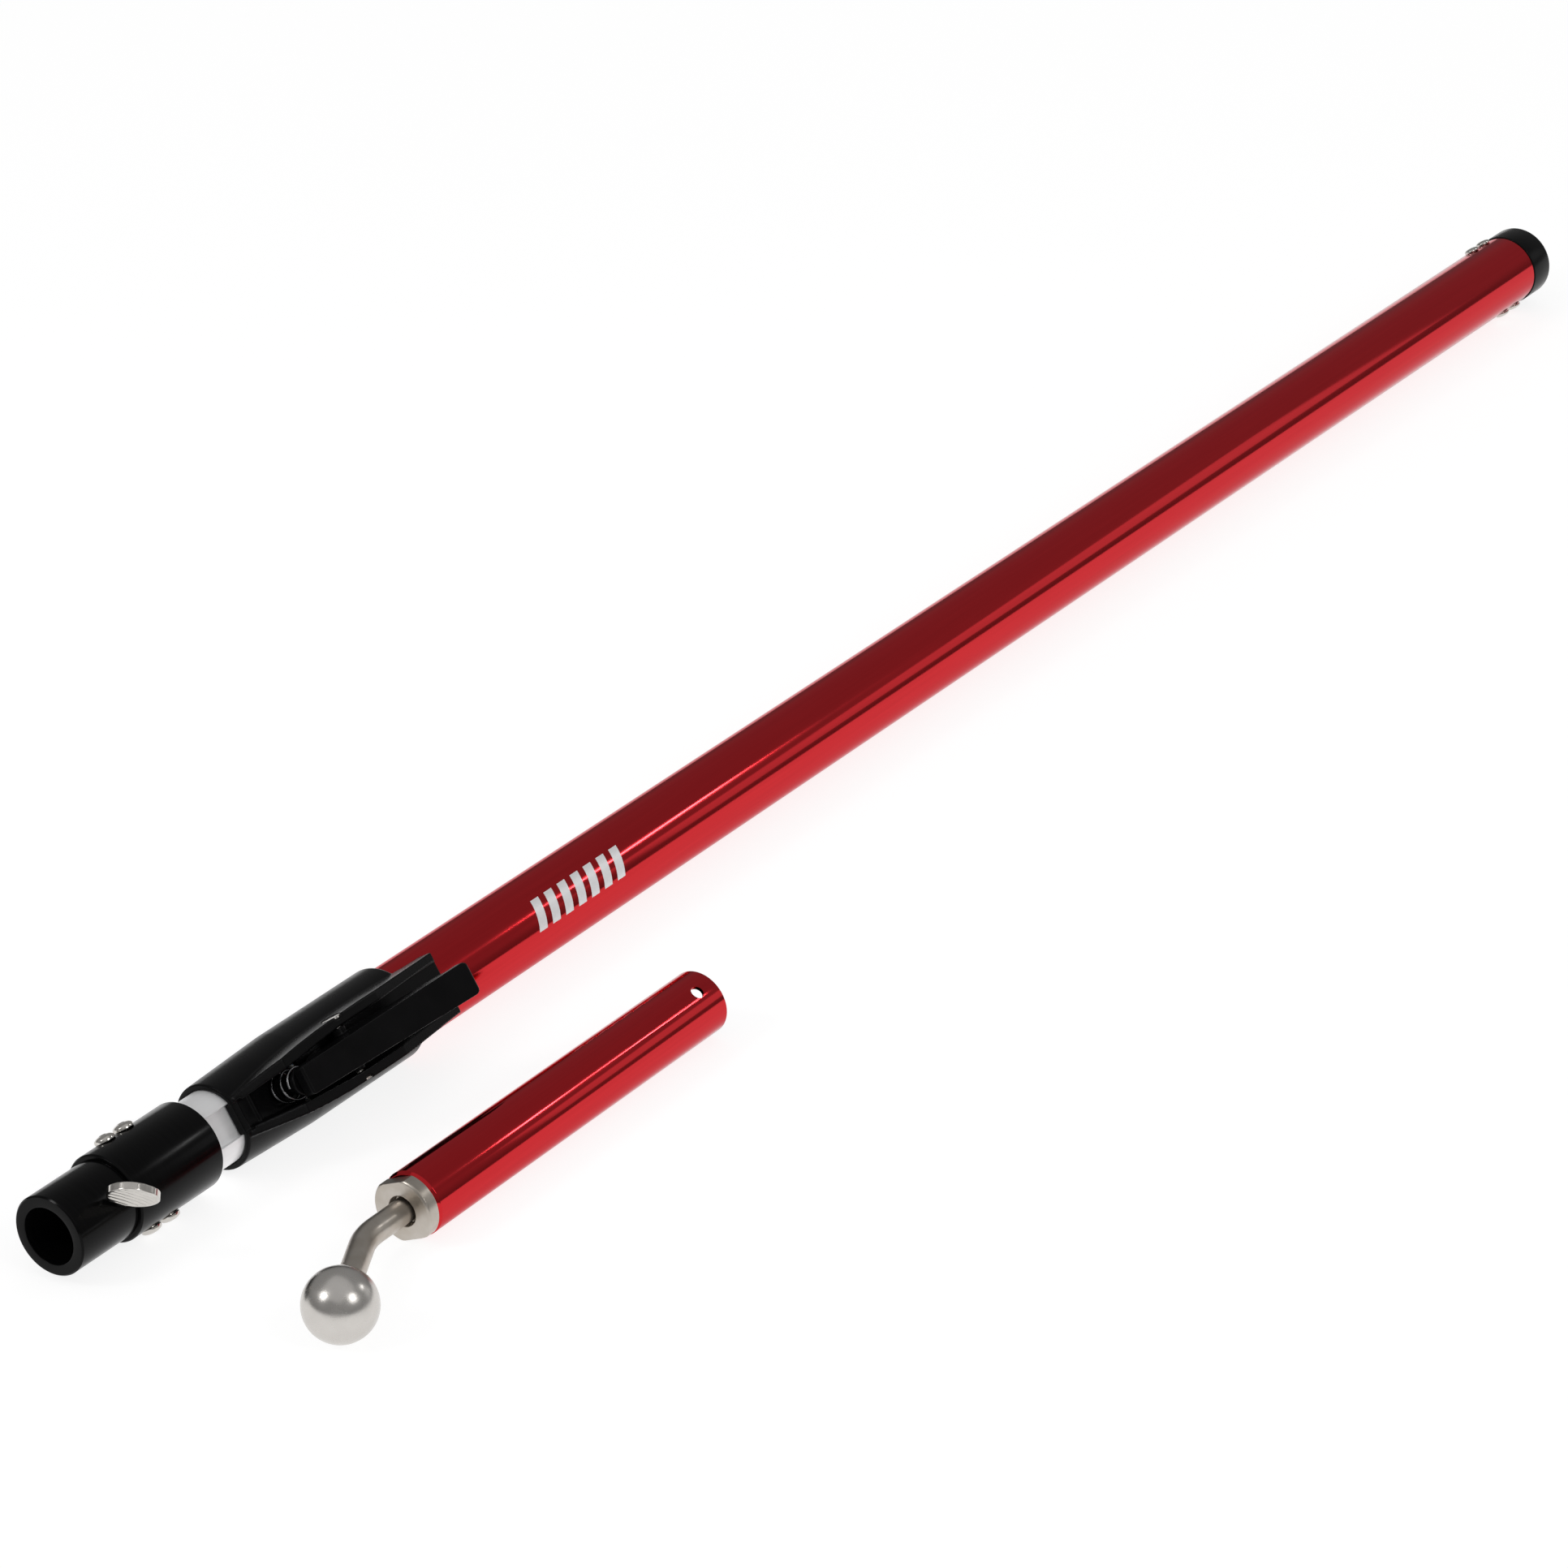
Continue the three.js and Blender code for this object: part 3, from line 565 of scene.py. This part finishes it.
def dome(head_r, head_h, shank_r, depth, socket=0.0):
    """A domed fastener along x with its shank to -x, and a six-sided socket where one is given."""
    arc = [(head_h * (0.3 + 0.7 * math.sin(a)), head_r * math.cos(a))
           for a in (math.pi / 2 * k / 10 for k in range(1, 10))]
    outline = [(-depth, 0), (-depth, shank_r), (0, shank_r), (0, head_r - 0.15), (0.15, head_r)] + arc
    if not socket:
        return lathe(outline + [(head_h, 0)], 48)
    outline = [p for p in outline if p[0] <= 0.2 or p[1] > socket * 1.15]
    rim = len(outline)
    outline += [(head_h - 0.12, socket), (head_h - 1.3, socket * 0.97), (head_h - 1.6, 0)]

    def hexagon(index, angle):
        if index < rim:
            return 1.0
        return math.cos(math.pi / 6) / math.cos((angle + math.pi / 6) % (math.pi / 3) - math.pi / 6)

    return lathe(outline, 48, hexagon)


def side_fasteners(stem, shape, xs, seat_r, body, slot):
    """The shape on both sides of a round, one for each place along it."""
    number = 0
    for side in (1, -1):
        for x in xs:
            number += 1
            turn = Matrix.Rotation(side * math.pi / 2, 4, "Z")
            spot = POLE @ Matrix.Translation((x, side * seat_r, 0)) @ turn
            piece(f"{stem}_{number}_skin", shape, spot, body, slot, [f"{stem}_{number}"])


def ear_plan():
    front = along("lock_collar")[0]
    return mirrored([
        (front + 0.3, 7.9), (EAR_PEAK_X, 10.9), (125, 12.3), (PIN.x, 12.95), (EAR_FALL_X, 13.1),
        (along("lock_collar")[1], 12.25),
    ])


def ear_profile():
    front, tip = along("lock_collar")
    return rounded([
        (front + 0.3, EAR_FOOT, 0), (front + 0.3, EAR_START_TOP, 0.3), (EAR_PEAK_X - 0.8, EAR_TOP - 1, 0.2),
        (EAR_PEAK_X + 0.6, EAR_TOP - 0.3, 0.4), (EAR_FALL_X, EAR_TOP, 3), (tip, EAR_TIP_TOP, 0.3),
        (tip, EAR_FOOT, 0),
    ])


def collar_bore():
    """The bore round the inner tube, less the key that stands in its channel."""
    front = along("lock_collar")[0]
    bore_r, half, floor = INNER_R + GAP, HALF_FLAT - GAP, FLAT + GAP
    points = []
    edge = math.asin(half / bore_r)
    for k in range(121):
        angle = math.pi / 2 + edge + (2 * math.pi - 2 * edge) * k / 120
        points.append((bore_r * math.cos(angle), bore_r * math.sin(angle)))
    points += [(half, floor), (-half, floor)]
    count = len(points)
    verts = [(x, y, z) for x in (front - 10, BUSH_X + 1) for y, z in points]
    faces = [tuple(range(count)), tuple(range(count, 2 * count))]
    faces += [(i, (i + 1) % count, (i + 1) % count + count, i + count) for i in range(count)]
    return verts, faces


def box(low, high):
    """A block between two opposite corners."""
    corners = [(low[0], low[1]), (high[0], low[1]), (high[0], high[1]), (low[0], high[1])]
    return prism(corners, low[2], high[2])


def shape_of(mesh):
    """A mesh's vertices and faces."""
    return [tuple(v.co) for v in mesh.vertices], [tuple(p.vertices) for p in mesh.polygons]


def lock_collar():
    front, tip = along("lock_collar")
    barrel = lathe(
        rounded([
            (front, 0, 0), (front, COLLAR_FRONT_R, 0.7), (TAPER_END, COLLAR_R, 4),
            (COLLAR_REAR, COLLAR_R, 1.8), (COLLAR_REAR, 0, 0),
        ]),
        160,
    )
    saddle = applied_intersection(prism(ear_plan(), 0, FAR), prism(ear_profile(), -FAR, FAR, "y"))
    trough_plan = mirrored([(RIM_X, 5.1), (100, 6), (EAR_PEAK_X, 6.85), (BUSH_X + 1, 7.75)])
    trough = prism(trough_plan, FLOOR_FRONT, FAR)
    slot = prism(mirrored([(BUSH_X, 7.7), (PIN.x, 9), (EAR_FALL_X, 9), (tip + 5, 9)]), FLOOR_REAR, FAR)
    rim = box((front - 10, -6, RIM_TOP), (RIM_X + 1, 6, FAR))
    tube = bar((BUSH_X, 0, 0), (tip + 5, 0, 0), TUBE_R + 0.15, 128)
    pin_hole = bar((PIN.x, -FAR, PIN.z), (PIN.x, FAR, PIN.z), PIN_R + PIN_PLAY, 32)
    recesses = [
        bar((PIN.x, side * (PIN_SEAT - GAP), PIN.z), (PIN.x, side * FAR, PIN.z), PIN_HEAD_R + GAP, 48)
        for side in (1, -1)
    ]
    plunger_hole = bar((PLUNGER_X, 0, 0), (PLUNGER_X, 0, FAR), PLUNGER_HOLE_R, 48)
    rib = box((97.4, -5.4, FLOOR_FRONT - 0.6), (98.6, 5.4, FLOOR_FRONT + 0.7))
    mesh = carved(
        barrel,
        adds=[saddle],
        cuts=[trough, slot, rim, collar_bore(), tube, pin_hole, *recesses, plunger_hole],
    )
    mesh = carved(shape_of(mesh), adds=[rib])
    piece(
        "lock_collar_skin", moulded(mesh, 0.34), POLE, "outer_pole", "black_plastic", ["lock_collar"], 60
    )


def applied_intersection(a, b):
    """What two shapes have in common, as a shape."""
    base, tool = shown("work", a), shown("tool", b)
    step = base.modifiers.new("cut", "BOOLEAN")
    step.operation = "INTERSECT"
    step.solver = "EXACT"
    step.object = tool
    mesh = applied(base)
    bpy.data.objects.remove(tool)
    return shape_of(mesh)


def coil(x, low, high, mean_r, wire_r, turns):
    """A compression spring standing along z, its end turns closed and ground."""
    path = []
    for k in range(int(turns * 28) + 1):
        t = k / (turns * 28)
        rise = min(1.0, max(0.0, (t - 0.12) / 0.76))
        angle = 2 * math.pi * turns * t
        path.append((x + mean_r * math.cos(angle), mean_r * math.sin(angle),
                     low + wire_r + (high - low - 2 * wire_r) * rise))
    return sweep(path, wire_r, 12)


def lever_pin():
    head = rounded([
        (0, 0, 0), (0, PIN_HEAD_R, 0.2), (PIN_HEAD, PIN_HEAD_R, 0.35), (PIN_HEAD + 0.05, 0, 0),
    ])
    swing = Matrix.Translation((PIN.x, PIN_SEAT, PIN.z)) @ Matrix.Rotation(math.pi / 2, 4, "Z")
    shank = bar((PIN.x, -PIN_SEAT - 1, PIN.z), (PIN.x, PIN_SEAT + 0.1, PIN.z), PIN_R, 48)
    pin = joined(moved(lathe(head, 64), swing), shank)
    piece("lever_pin_skin", pin, POLE, "outer_pole", "nickel", ["lever_pin"])
    hole_r = PIN_R + 0.1
    clip = rounded([
        (0, hole_r, 0.1), (0, PIN_HEAD_R, 0.2), (PIN_CLIP, PIN_HEAD_R, 0.2), (PIN_CLIP + 0.2, hole_r, 0.1),
    ])
    swing = Matrix.Translation((PIN.x, -PIN_SEAT, PIN.z)) @ Matrix.Rotation(-math.pi / 2, 4, "Z")
    piece("pin_clip_skin", moved(lathe(clip, 64), swing), POLE, "outer_pole", "steel", ["pin_clip"])


def brake_lever():
    front, rear = along("brake_lever")

    def top(x):
        return LEVER_FRONT_TOP + LEVER_SLOPE * (x - front - 0.1)

    def under(x):
        return top(x) - LEVER_PLATE

    seat = PLUNGER_TOP + GAP
    web = PLUNGER_X + 6.5
    profile = rounded([
        (front, seat, 0.5), (front, top(front), 1.2), (rear, top(rear), 1.2), (rear, under(rear), 0.8),
        (rear - 8, under(rear - 8), 1), (rear - 10, under(rear - 10) - 2, 0.5),
        (PIN.x + 2, PIN.z - 3.1, 2), (PIN.x - 2, PIN.z - 3.6, 2), (130, PIN.z - 3.2, 2),
        (web + 1.5, 23, 0.5), (web, seat, 0.3),
    ])
    plan = rounded([
        (front, -LEVER_HALF_FRONT, 1.2), (rear, -LEVER_HALF_REAR, LEVER_TAIL_R),
        (rear, LEVER_HALF_REAR, LEVER_TAIL_R), (front, LEVER_HALF_FRONT, 1.2),
    ], 8)
    body = applied_intersection(prism(plan, 0, FAR), prism(profile, -FAR, FAR, "y"))
    belly = prism(
        [(web + 1.6, 0), (web + 1.6, under(web + 1.6)), (rear - 4, under(rear - 4)), (rear - 4, 0)],
        -LEVER_WEB, LEVER_WEB, "y",
    )
    boss = bar((PIN.x, -BOSS_HALF, PIN.z), (PIN.x, BOSS_HALF, PIN.z), BOSS_R, 48)
    hole = bar((PIN.x, -FAR, PIN.z), (PIN.x, FAR, PIN.z), PIN_R + PIN_PLAY, 32)
    mesh = moulded(carved(body, adds=[boss], cuts=[belly, hole]), 0.26)
    piece("brake_lever_skin", mesh, POLE, "brake_lever_body", "black_plastic", ["brake_lever"], 60)


def brake_plunger():
    pad_low = FLAT + GAP
    pad_top = pad_low + PAD
    foot = pad_top + GAP
    shoulder = foot + PLUNGER_BASE
    neck = PLUNGER_TOP - PLUNGER_HEAD
    outline = rounded([
        (foot, 0, 0), (foot, PLUNGER_BASE_R, 0.3), (shoulder, PLUNGER_BASE_R, 0.3),
        (shoulder, PLUNGER_R, 0.3), (neck, PLUNGER_R, 0.3), (neck, PLUNGER_HEAD_R, 0.3),
        (PLUNGER_TOP, PLUNGER_HEAD_R, 0.5), (PLUNGER_TOP, 0, 0),
    ])
    stand = Matrix.Translation((PLUNGER_X, 0, 0)) @ Matrix.Rotation(-math.pi / 2, 4, "Y")
    piece(
        "brake_plunger_skin", moved(lathe(outline, 64), stand), POLE,
        "brake_plunger_body", "black_plastic", ["brake_plunger"],
    )
    pad = rounded([
        (pad_low, 0, 0), (pad_low, PLUNGER_BASE_R, 0.4), (pad_top, PLUNGER_BASE_R, 0.2), (pad_top, 0, 0),
    ])
    piece(
        "brake_pad_skin", moved(lathe(pad, 64), stand), POLE,
        "brake_plunger_body", "rubber", ["brake_pad"],
    )


def springs():
    """Each spring stands on the collar and reaches up to its moving piece."""
    foot, top = FLOOR_FRONT + GAP, PLUNGER_TOP - PLUNGER_HEAD - GAP
    piece(
        "plunger_spring_skin",
        coil(PLUNGER_X, foot, top, PLUNGER_SPRING_R, SPRING_WIRE_R, PLUNGER_SPRING_TURNS),
        POLE, None, "spring_steel", ["plunger_spring"],
        blend=("brake_plunger_body", FLOOR_FRONT + 1, PLUNGER_TOP - 2.5),
    )
    foot, top = FLOOR_REAR + GAP, LEVER_SPRING_TOP
    piece(
        "lever_spring_skin",
        coil(LEVER_SPRING_X, foot, top, LEVER_SPRING_R, SPRING_WIRE_R, LEVER_SPRING_TURNS),
        POLE, None, "spring_steel", ["lever_spring"],
        blend=("brake_lever_body", FLOOR_REAR + 1, LEVER_SPRING_TOP - 0.8),
    )


# ---- inner pole ----
def channelled(r, flat, half, corner):
    """The extruded section: a round with one flat-bottomed channel, as (y, z) points."""
    lip = math.sqrt(r * r - half * half)
    edge = math.asin(half / r)
    points = []
    for k in range(141):
        angle = math.pi / 2 + edge + 0.03 + (2 * math.pi - 2 * edge - 0.06) * k / 140
        points.append((r * math.cos(angle), r * math.sin(angle)))
    channel = rounded([
        (half * 2, lip, 0), (half, lip - 0.1, corner), (half, flat, corner),
        (-half, flat, corner), (-half, lip - 0.1, corner), (-half * 2, lip, 0),
    ], 4)
    return points + channel[1:-1]


def inner_tube():
    front, rear = along("inner_tube")
    outer = channelled(INNER_R, FLAT, HALF_FLAT, 0.35)
    inner = channelled(INNER_R - INNER_WALL, FLAT - INNER_WALL, HALF_FLAT + 0.5 * INNER_WALL, 0.2)
    piece("inner_tube_skin", extrusion(outer, inner, front, rear), POLE, "inner_pole", "clear_anodised",
          ["inner_tube"], 20)


def tool_head():
    rear = along("tool_head")[1]
    sleeve_bore = INNER_R + GAP
    web = along("inner_tube")[0] - GAP
    outline = rounded([
        (0, BORE_R, 0.3), (0, NOSE_R - NOSE_EDGE, 0.1), (NOSE_EDGE, NOSE_R, 0.2),
        (STEP_X - 0.5, NOSE_R, 0.15), (STEP_X - 0.3, NOSE_R - NOSE_GROOVE, 0.1),
        (STEP_X, NOSE_R - NOSE_GROOVE, 0.1), (STEP_X + 0.1, SLEEVE_R - 0.5, 0.2),
        (STEP_X + 0.8, SLEEVE_R, 0.3),
        (rear, SLEEVE_R, 0.5), (rear, sleeve_bore, 0.2), (web, sleeve_bore, 0), (web, WEB_HOLE_R, 0),
        (BORE_DEPTH, WEB_HOLE_R, 0), (BORE_DEPTH, BORE_R, 0),
    ])
    piece("tool_head_skin", lathe(outline, 192), POLE, "inner_pole", "black_anodised", ["tool_head"])


def thumb_screw():
    middle, tall = (PADDLE_LOW + PADDLE_TOP) / 2, (PADDLE_TOP - PADDLE_LOW) / 2
    paddle = prism(
        rounded([
            (PADDLE_HALF, PADDLE_TOP, PADDLE_CORNER), (-PADDLE_HALF, PADDLE_TOP, PADDLE_CORNER),
            (-PADDLE_HALF, PADDLE_LOW, PADDLE_CORNER), (PADDLE_HALF, PADDLE_LOW, PADDLE_CORNER),
        ], 16),
        -PADDLE_THICK, PADDLE_THICK, "y",
    )
    flange_top = THUMB_BASE + THUMB_FLANGE
    neck = prism(
        [
            (-THUMB_FLANGE_R, flange_top - GAP), (THUMB_FLANGE_R, flange_top - GAP),
            (PADDLE_NECK, PADDLE_NECK_TOP), (-PADDLE_NECK, PADDLE_NECK_TOP),
        ],
        -PADDLE_THICK, PADDLE_THICK, "y",
    )
    shank = bar((0, 0, BORE_R + GAP), (0, 0, THUMB_BASE + 0.5), THUMB_SHANK_R, 48)
    flange = bar((0, 0, THUMB_BASE), (0, 0, flange_top), THUMB_FLANGE_R, 64)
    collar = bar((0, 0, flange_top - 0.2), (0, 0, flange_top + 1.2), THUMB_FLANGE_R - 0.7, 64)
    mesh = moulded(carved(paddle, adds=[neck, flange, collar, shank]), 0.16, 5, 0.6)
    for vertex in mesh.vertices:
        x, y, z = vertex.co
        reach = math.hypot(x / PADDLE_HALF, (z - middle) / tall)
        if reach < PADDLE_RIM and z > flange_top + 1 and abs(y) > 0.5:
            inside = min(1.0, (PADDLE_RIM - reach) / 0.12)
            groove = 0.5 - 0.5 * math.cos(2 * math.pi * (z - middle) / RIB_PITCH)
            dished = PADDLE_DISH * min(1.0, (PADDLE_RIM - reach) / 0.5)
            vertex.co.y -= math.copysign(dished + RIB_DEPTH * groove * inside, y)
    spot = POLE @ Matrix.Translation((THUMB.x, 0, 0)) @ Matrix.Rotation(THUMB_TURN, 4, "Z")
    piece("thumb_screw_skin", mesh, spot, "thumb_screw_body", "nickel", ["thumb_screw"], 70)


# ---- ball adapter ----
def adapter_tube():
    front, rear = along("adapter_tube")
    inner = ADAPTER_R - ADAPTER_WALL
    outline = rounded([
        (front, inner, 0.2), (front, ADAPTER_R - 0.9, 0.3), (front + 1.1, ADAPTER_R, 0.5),
        (rear, ADAPTER_R, 0.35), (rear, inner, 0.2),
    ])
    x = rear - CROSS_HOLE_FROM_END
    out = (x, -FAR * math.cos(CROSS_HOLE_UP), FAR * math.sin(CROSS_HOLE_UP))
    hole = bar((x, 0, 0), out, CROSS_HOLE_R, 48)
    mesh = carved(lathe(outline, 192), cuts=[hole])
    piece("adapter_tube_skin", mesh, ADAPTER, "ball_adapter", "red_anodised", ["adapter_tube"])


def adapter_plug():
    outline = rounded([
        (0, PLUG_MOUTH_R, 0.3), (0, PLUG_R - 0.7, 0.2), (0.6, PLUG_R, 0.2), (PLUG_FLANGE, PLUG_R, 0.35),
        (PLUG_FLANGE, SPIGOT_R, 0), (SPIGOT_END, SPIGOT_R, 0.5), (SPIGOT_END, PLUG_BORE_R, 0),
        (PLUG_MOUTH_DEPTH, PLUG_BORE_R, 0), (PLUG_MOUTH_DEPTH, PLUG_MOUTH_R, 0),
    ])
    flats = [box((-1, -FAR, low), (PLUG_FLANGE + 0.1, FAR, high))
             for low, high in ((PLUG_FLATS, FAR), (-FAR, -PLUG_FLATS))]
    mesh = moulded(carved(lathe(outline, 128), cuts=flats), 0.2, 2, 0.5)
    turn = Matrix.Rotation(PLUG_TURN, 4, "X")
    piece("adapter_plug_skin", mesh, ADAPTER @ turn, "ball_adapter", "steel", ["adapter_plug"], 60)


def rod_points():
    """The rod's route: straight out of the plug, one bend, straight into the ball."""
    tail = along("ball_rod")[1]
    corner = Vector((-ROD_STRAIGHT, 0, 0))
    end = ADAPTER.inverted() @ centre("ball")
    ahead = (end - corner).normalized()
    into, out_of = corner + Vector((ROD_SETBACK, 0, 0)), corner + ahead * ROD_SETBACK
    route = [Vector((tail, 0, 0)), Vector((4, 0, 0))]
    for k in range(25):
        t = k / 24
        route.append(into * (1 - t) ** 2 + corner * 2 * t * (1 - t) + out_of * t * t)
    route.append(end - ahead * BALL_SOCKET)
    return route, end, ahead


def ball_end():
    route, end, ahead = rod_points()
    piece("ball_rod_skin", sweep(route, ROD_R, 64), ADAPTER, "ball_adapter", "steel", ["ball_rod"], 50)
    socket_r = ROD_R + ROD_PLAY
    mouth = math.asin(socket_r / BALL_R)
    outline = [(BALL_SOCKET, 0), (BALL_SOCKET, socket_r)]
    for k in range(73):
        angle = mouth + (math.pi - mouth) * k / 72
        outline.append((BALL_R * math.cos(angle), BALL_R * math.sin(angle)))
    outline[-1] = (-BALL_R, 0)
    swing = Matrix.Translation(end) @ Vector((1, 0, 0)).rotation_difference(-ahead).to_matrix().to_4x4()
    ball = moved(lathe(outline, 128), swing)
    piece("ball_skin", ball, ADAPTER, "ball_adapter", "polished_steel", ["ball"], 50)


# ---- carried-over CAD nodes ----
def dress_hidden_nodes():
    for node, slot in (("front_bush", "nylon"), ("rear_guide_plug", "nylon"), ("rod_washer", "steel"),
                       ("rod_nut", "steel")):
        materials = frame["nodes"][node].data.materials
        materials.clear()
        materials.append(MATERIAL[slot])


# ---- studio ----
def camera():
    """The photograph's viewpoint: before the nose, on the near side and above."""
    data = bpy.data.cameras.new("camera")
    data.lens = 139.75
    data.sensor_width = 36
    item = bpy.data.objects.new("camera", data)
    item.location = POLE.translation + Vector((-1.3164, -1.2140, 1.1048))
    ahead = Vector((0.729, 0.5031, -0.4644)).normalized()
    roll = Quaternion((0, 0, 1), 0.0012)
    item.rotation_euler = (ahead.to_track_quat("-Z", "Y") @ roll).to_euler()
    bpy.context.scene.collection.objects.link(item)
    bpy.context.scene.camera = item


def light(name, place_m, aim_m, size, power):
    data = bpy.data.lights.new(name, "AREA")
    data.shape = "RECTANGLE"
    data.size, data.size_y = size
    data.energy = power
    item = bpy.data.objects.new(name, data)
    item.location = place_m
    item.rotation_euler = (Vector(aim_m) - Vector(place_m)).to_track_quat("-Z", "Y").to_euler()
    bpy.context.scene.collection.objects.link(item)


def sky():
    """Soft light from all round, brighter from above."""
    world = bpy.data.worlds.new("studio")
    bpy.context.scene.world = world
    world.use_nodes = True
    nodes, links = world.node_tree.nodes, world.node_tree.links
    ways = nodes.new("ShaderNodeTexCoord")
    split = nodes.new("ShaderNodeSeparateXYZ")
    rise = nodes.new("ShaderNodeMapRange")
    for name, number in (("From Min", 0.0), ("From Max", 0.3), ("To Min", 0.16), ("To Max", 0.30)):
        rise.inputs[name].default_value = number
    links.new(ways.outputs["Generated"], split.inputs["Vector"])
    links.new(split.outputs["Z"], rise.inputs["Value"])
    links.new(rise.outputs["Result"], nodes["Background"].inputs["Color"])


def studio():
    floor = shown("floor", ([(-6, -6, 0), (6, -6, 0), (6, 6, 0), (-6, 6, 0)], [(0, 1, 2, 3)]))
    glow = {"Emission_Color": (1, 1, 1, 1), "Emission_Strength": 0.84}
    paper = finish("paper", (0.3, 0.3, 0.3), 0.0, 0.9, **glow)
    ramped(paper, textured(paper, NOISE, 3), (0.295, 0.295, 0.295), (0.305, 0.305, 0.305), "Base Color")
    floor.data.materials.append(paper)
    sky()
    light("left_softbox", (-2.03, 0.90, 1.6), (-0.5, 0, 0), (0.5, 0.5), 8)
    light("right_softbox", (-0.48, -1.82, 1.58), (-0.5, 0, 0), (0.8, 0.8), 7)
    light("top_fill", (-0.9, 0.0, 3.2), (0, 0, 0), (4.6, 5.0), 18)
    light("side_panel", (2.6, -1.9, 0.95), (0.2, 0, 0), (1.6, 0.8), 1.9)
    light("strip", (1.31, -1.12, 1.35), (-0.32, 0, 0), (0.3, 0.06), 1.6)
    bpy.context.scene.view_settings.view_transform = "Standard"


camera()
outer_tube()
tube_mark()
end_cap()
side_fasteners(
    "cap_rivet", dome(**RIVET_SHAPE), RIVETS, TUBE_R + FASTENER_LIFT, "outer_pole", "nickel"
)
lock_collar()
lever_pin()
brake_lever()
brake_plunger()
springs()
inner_tube()
tool_head()
side_fasteners(
    "head_screw", dome(**HEAD_SCREW_SHAPE), HEAD_SCREWS, SLEEVE_R + FASTENER_LIFT, "inner_pole", "nickel"
)
thumb_screw()
adapter_tube()
adapter_plug()
ball_end()
dress_hidden_nodes()
studio()

bpy.context.view_layer.update()
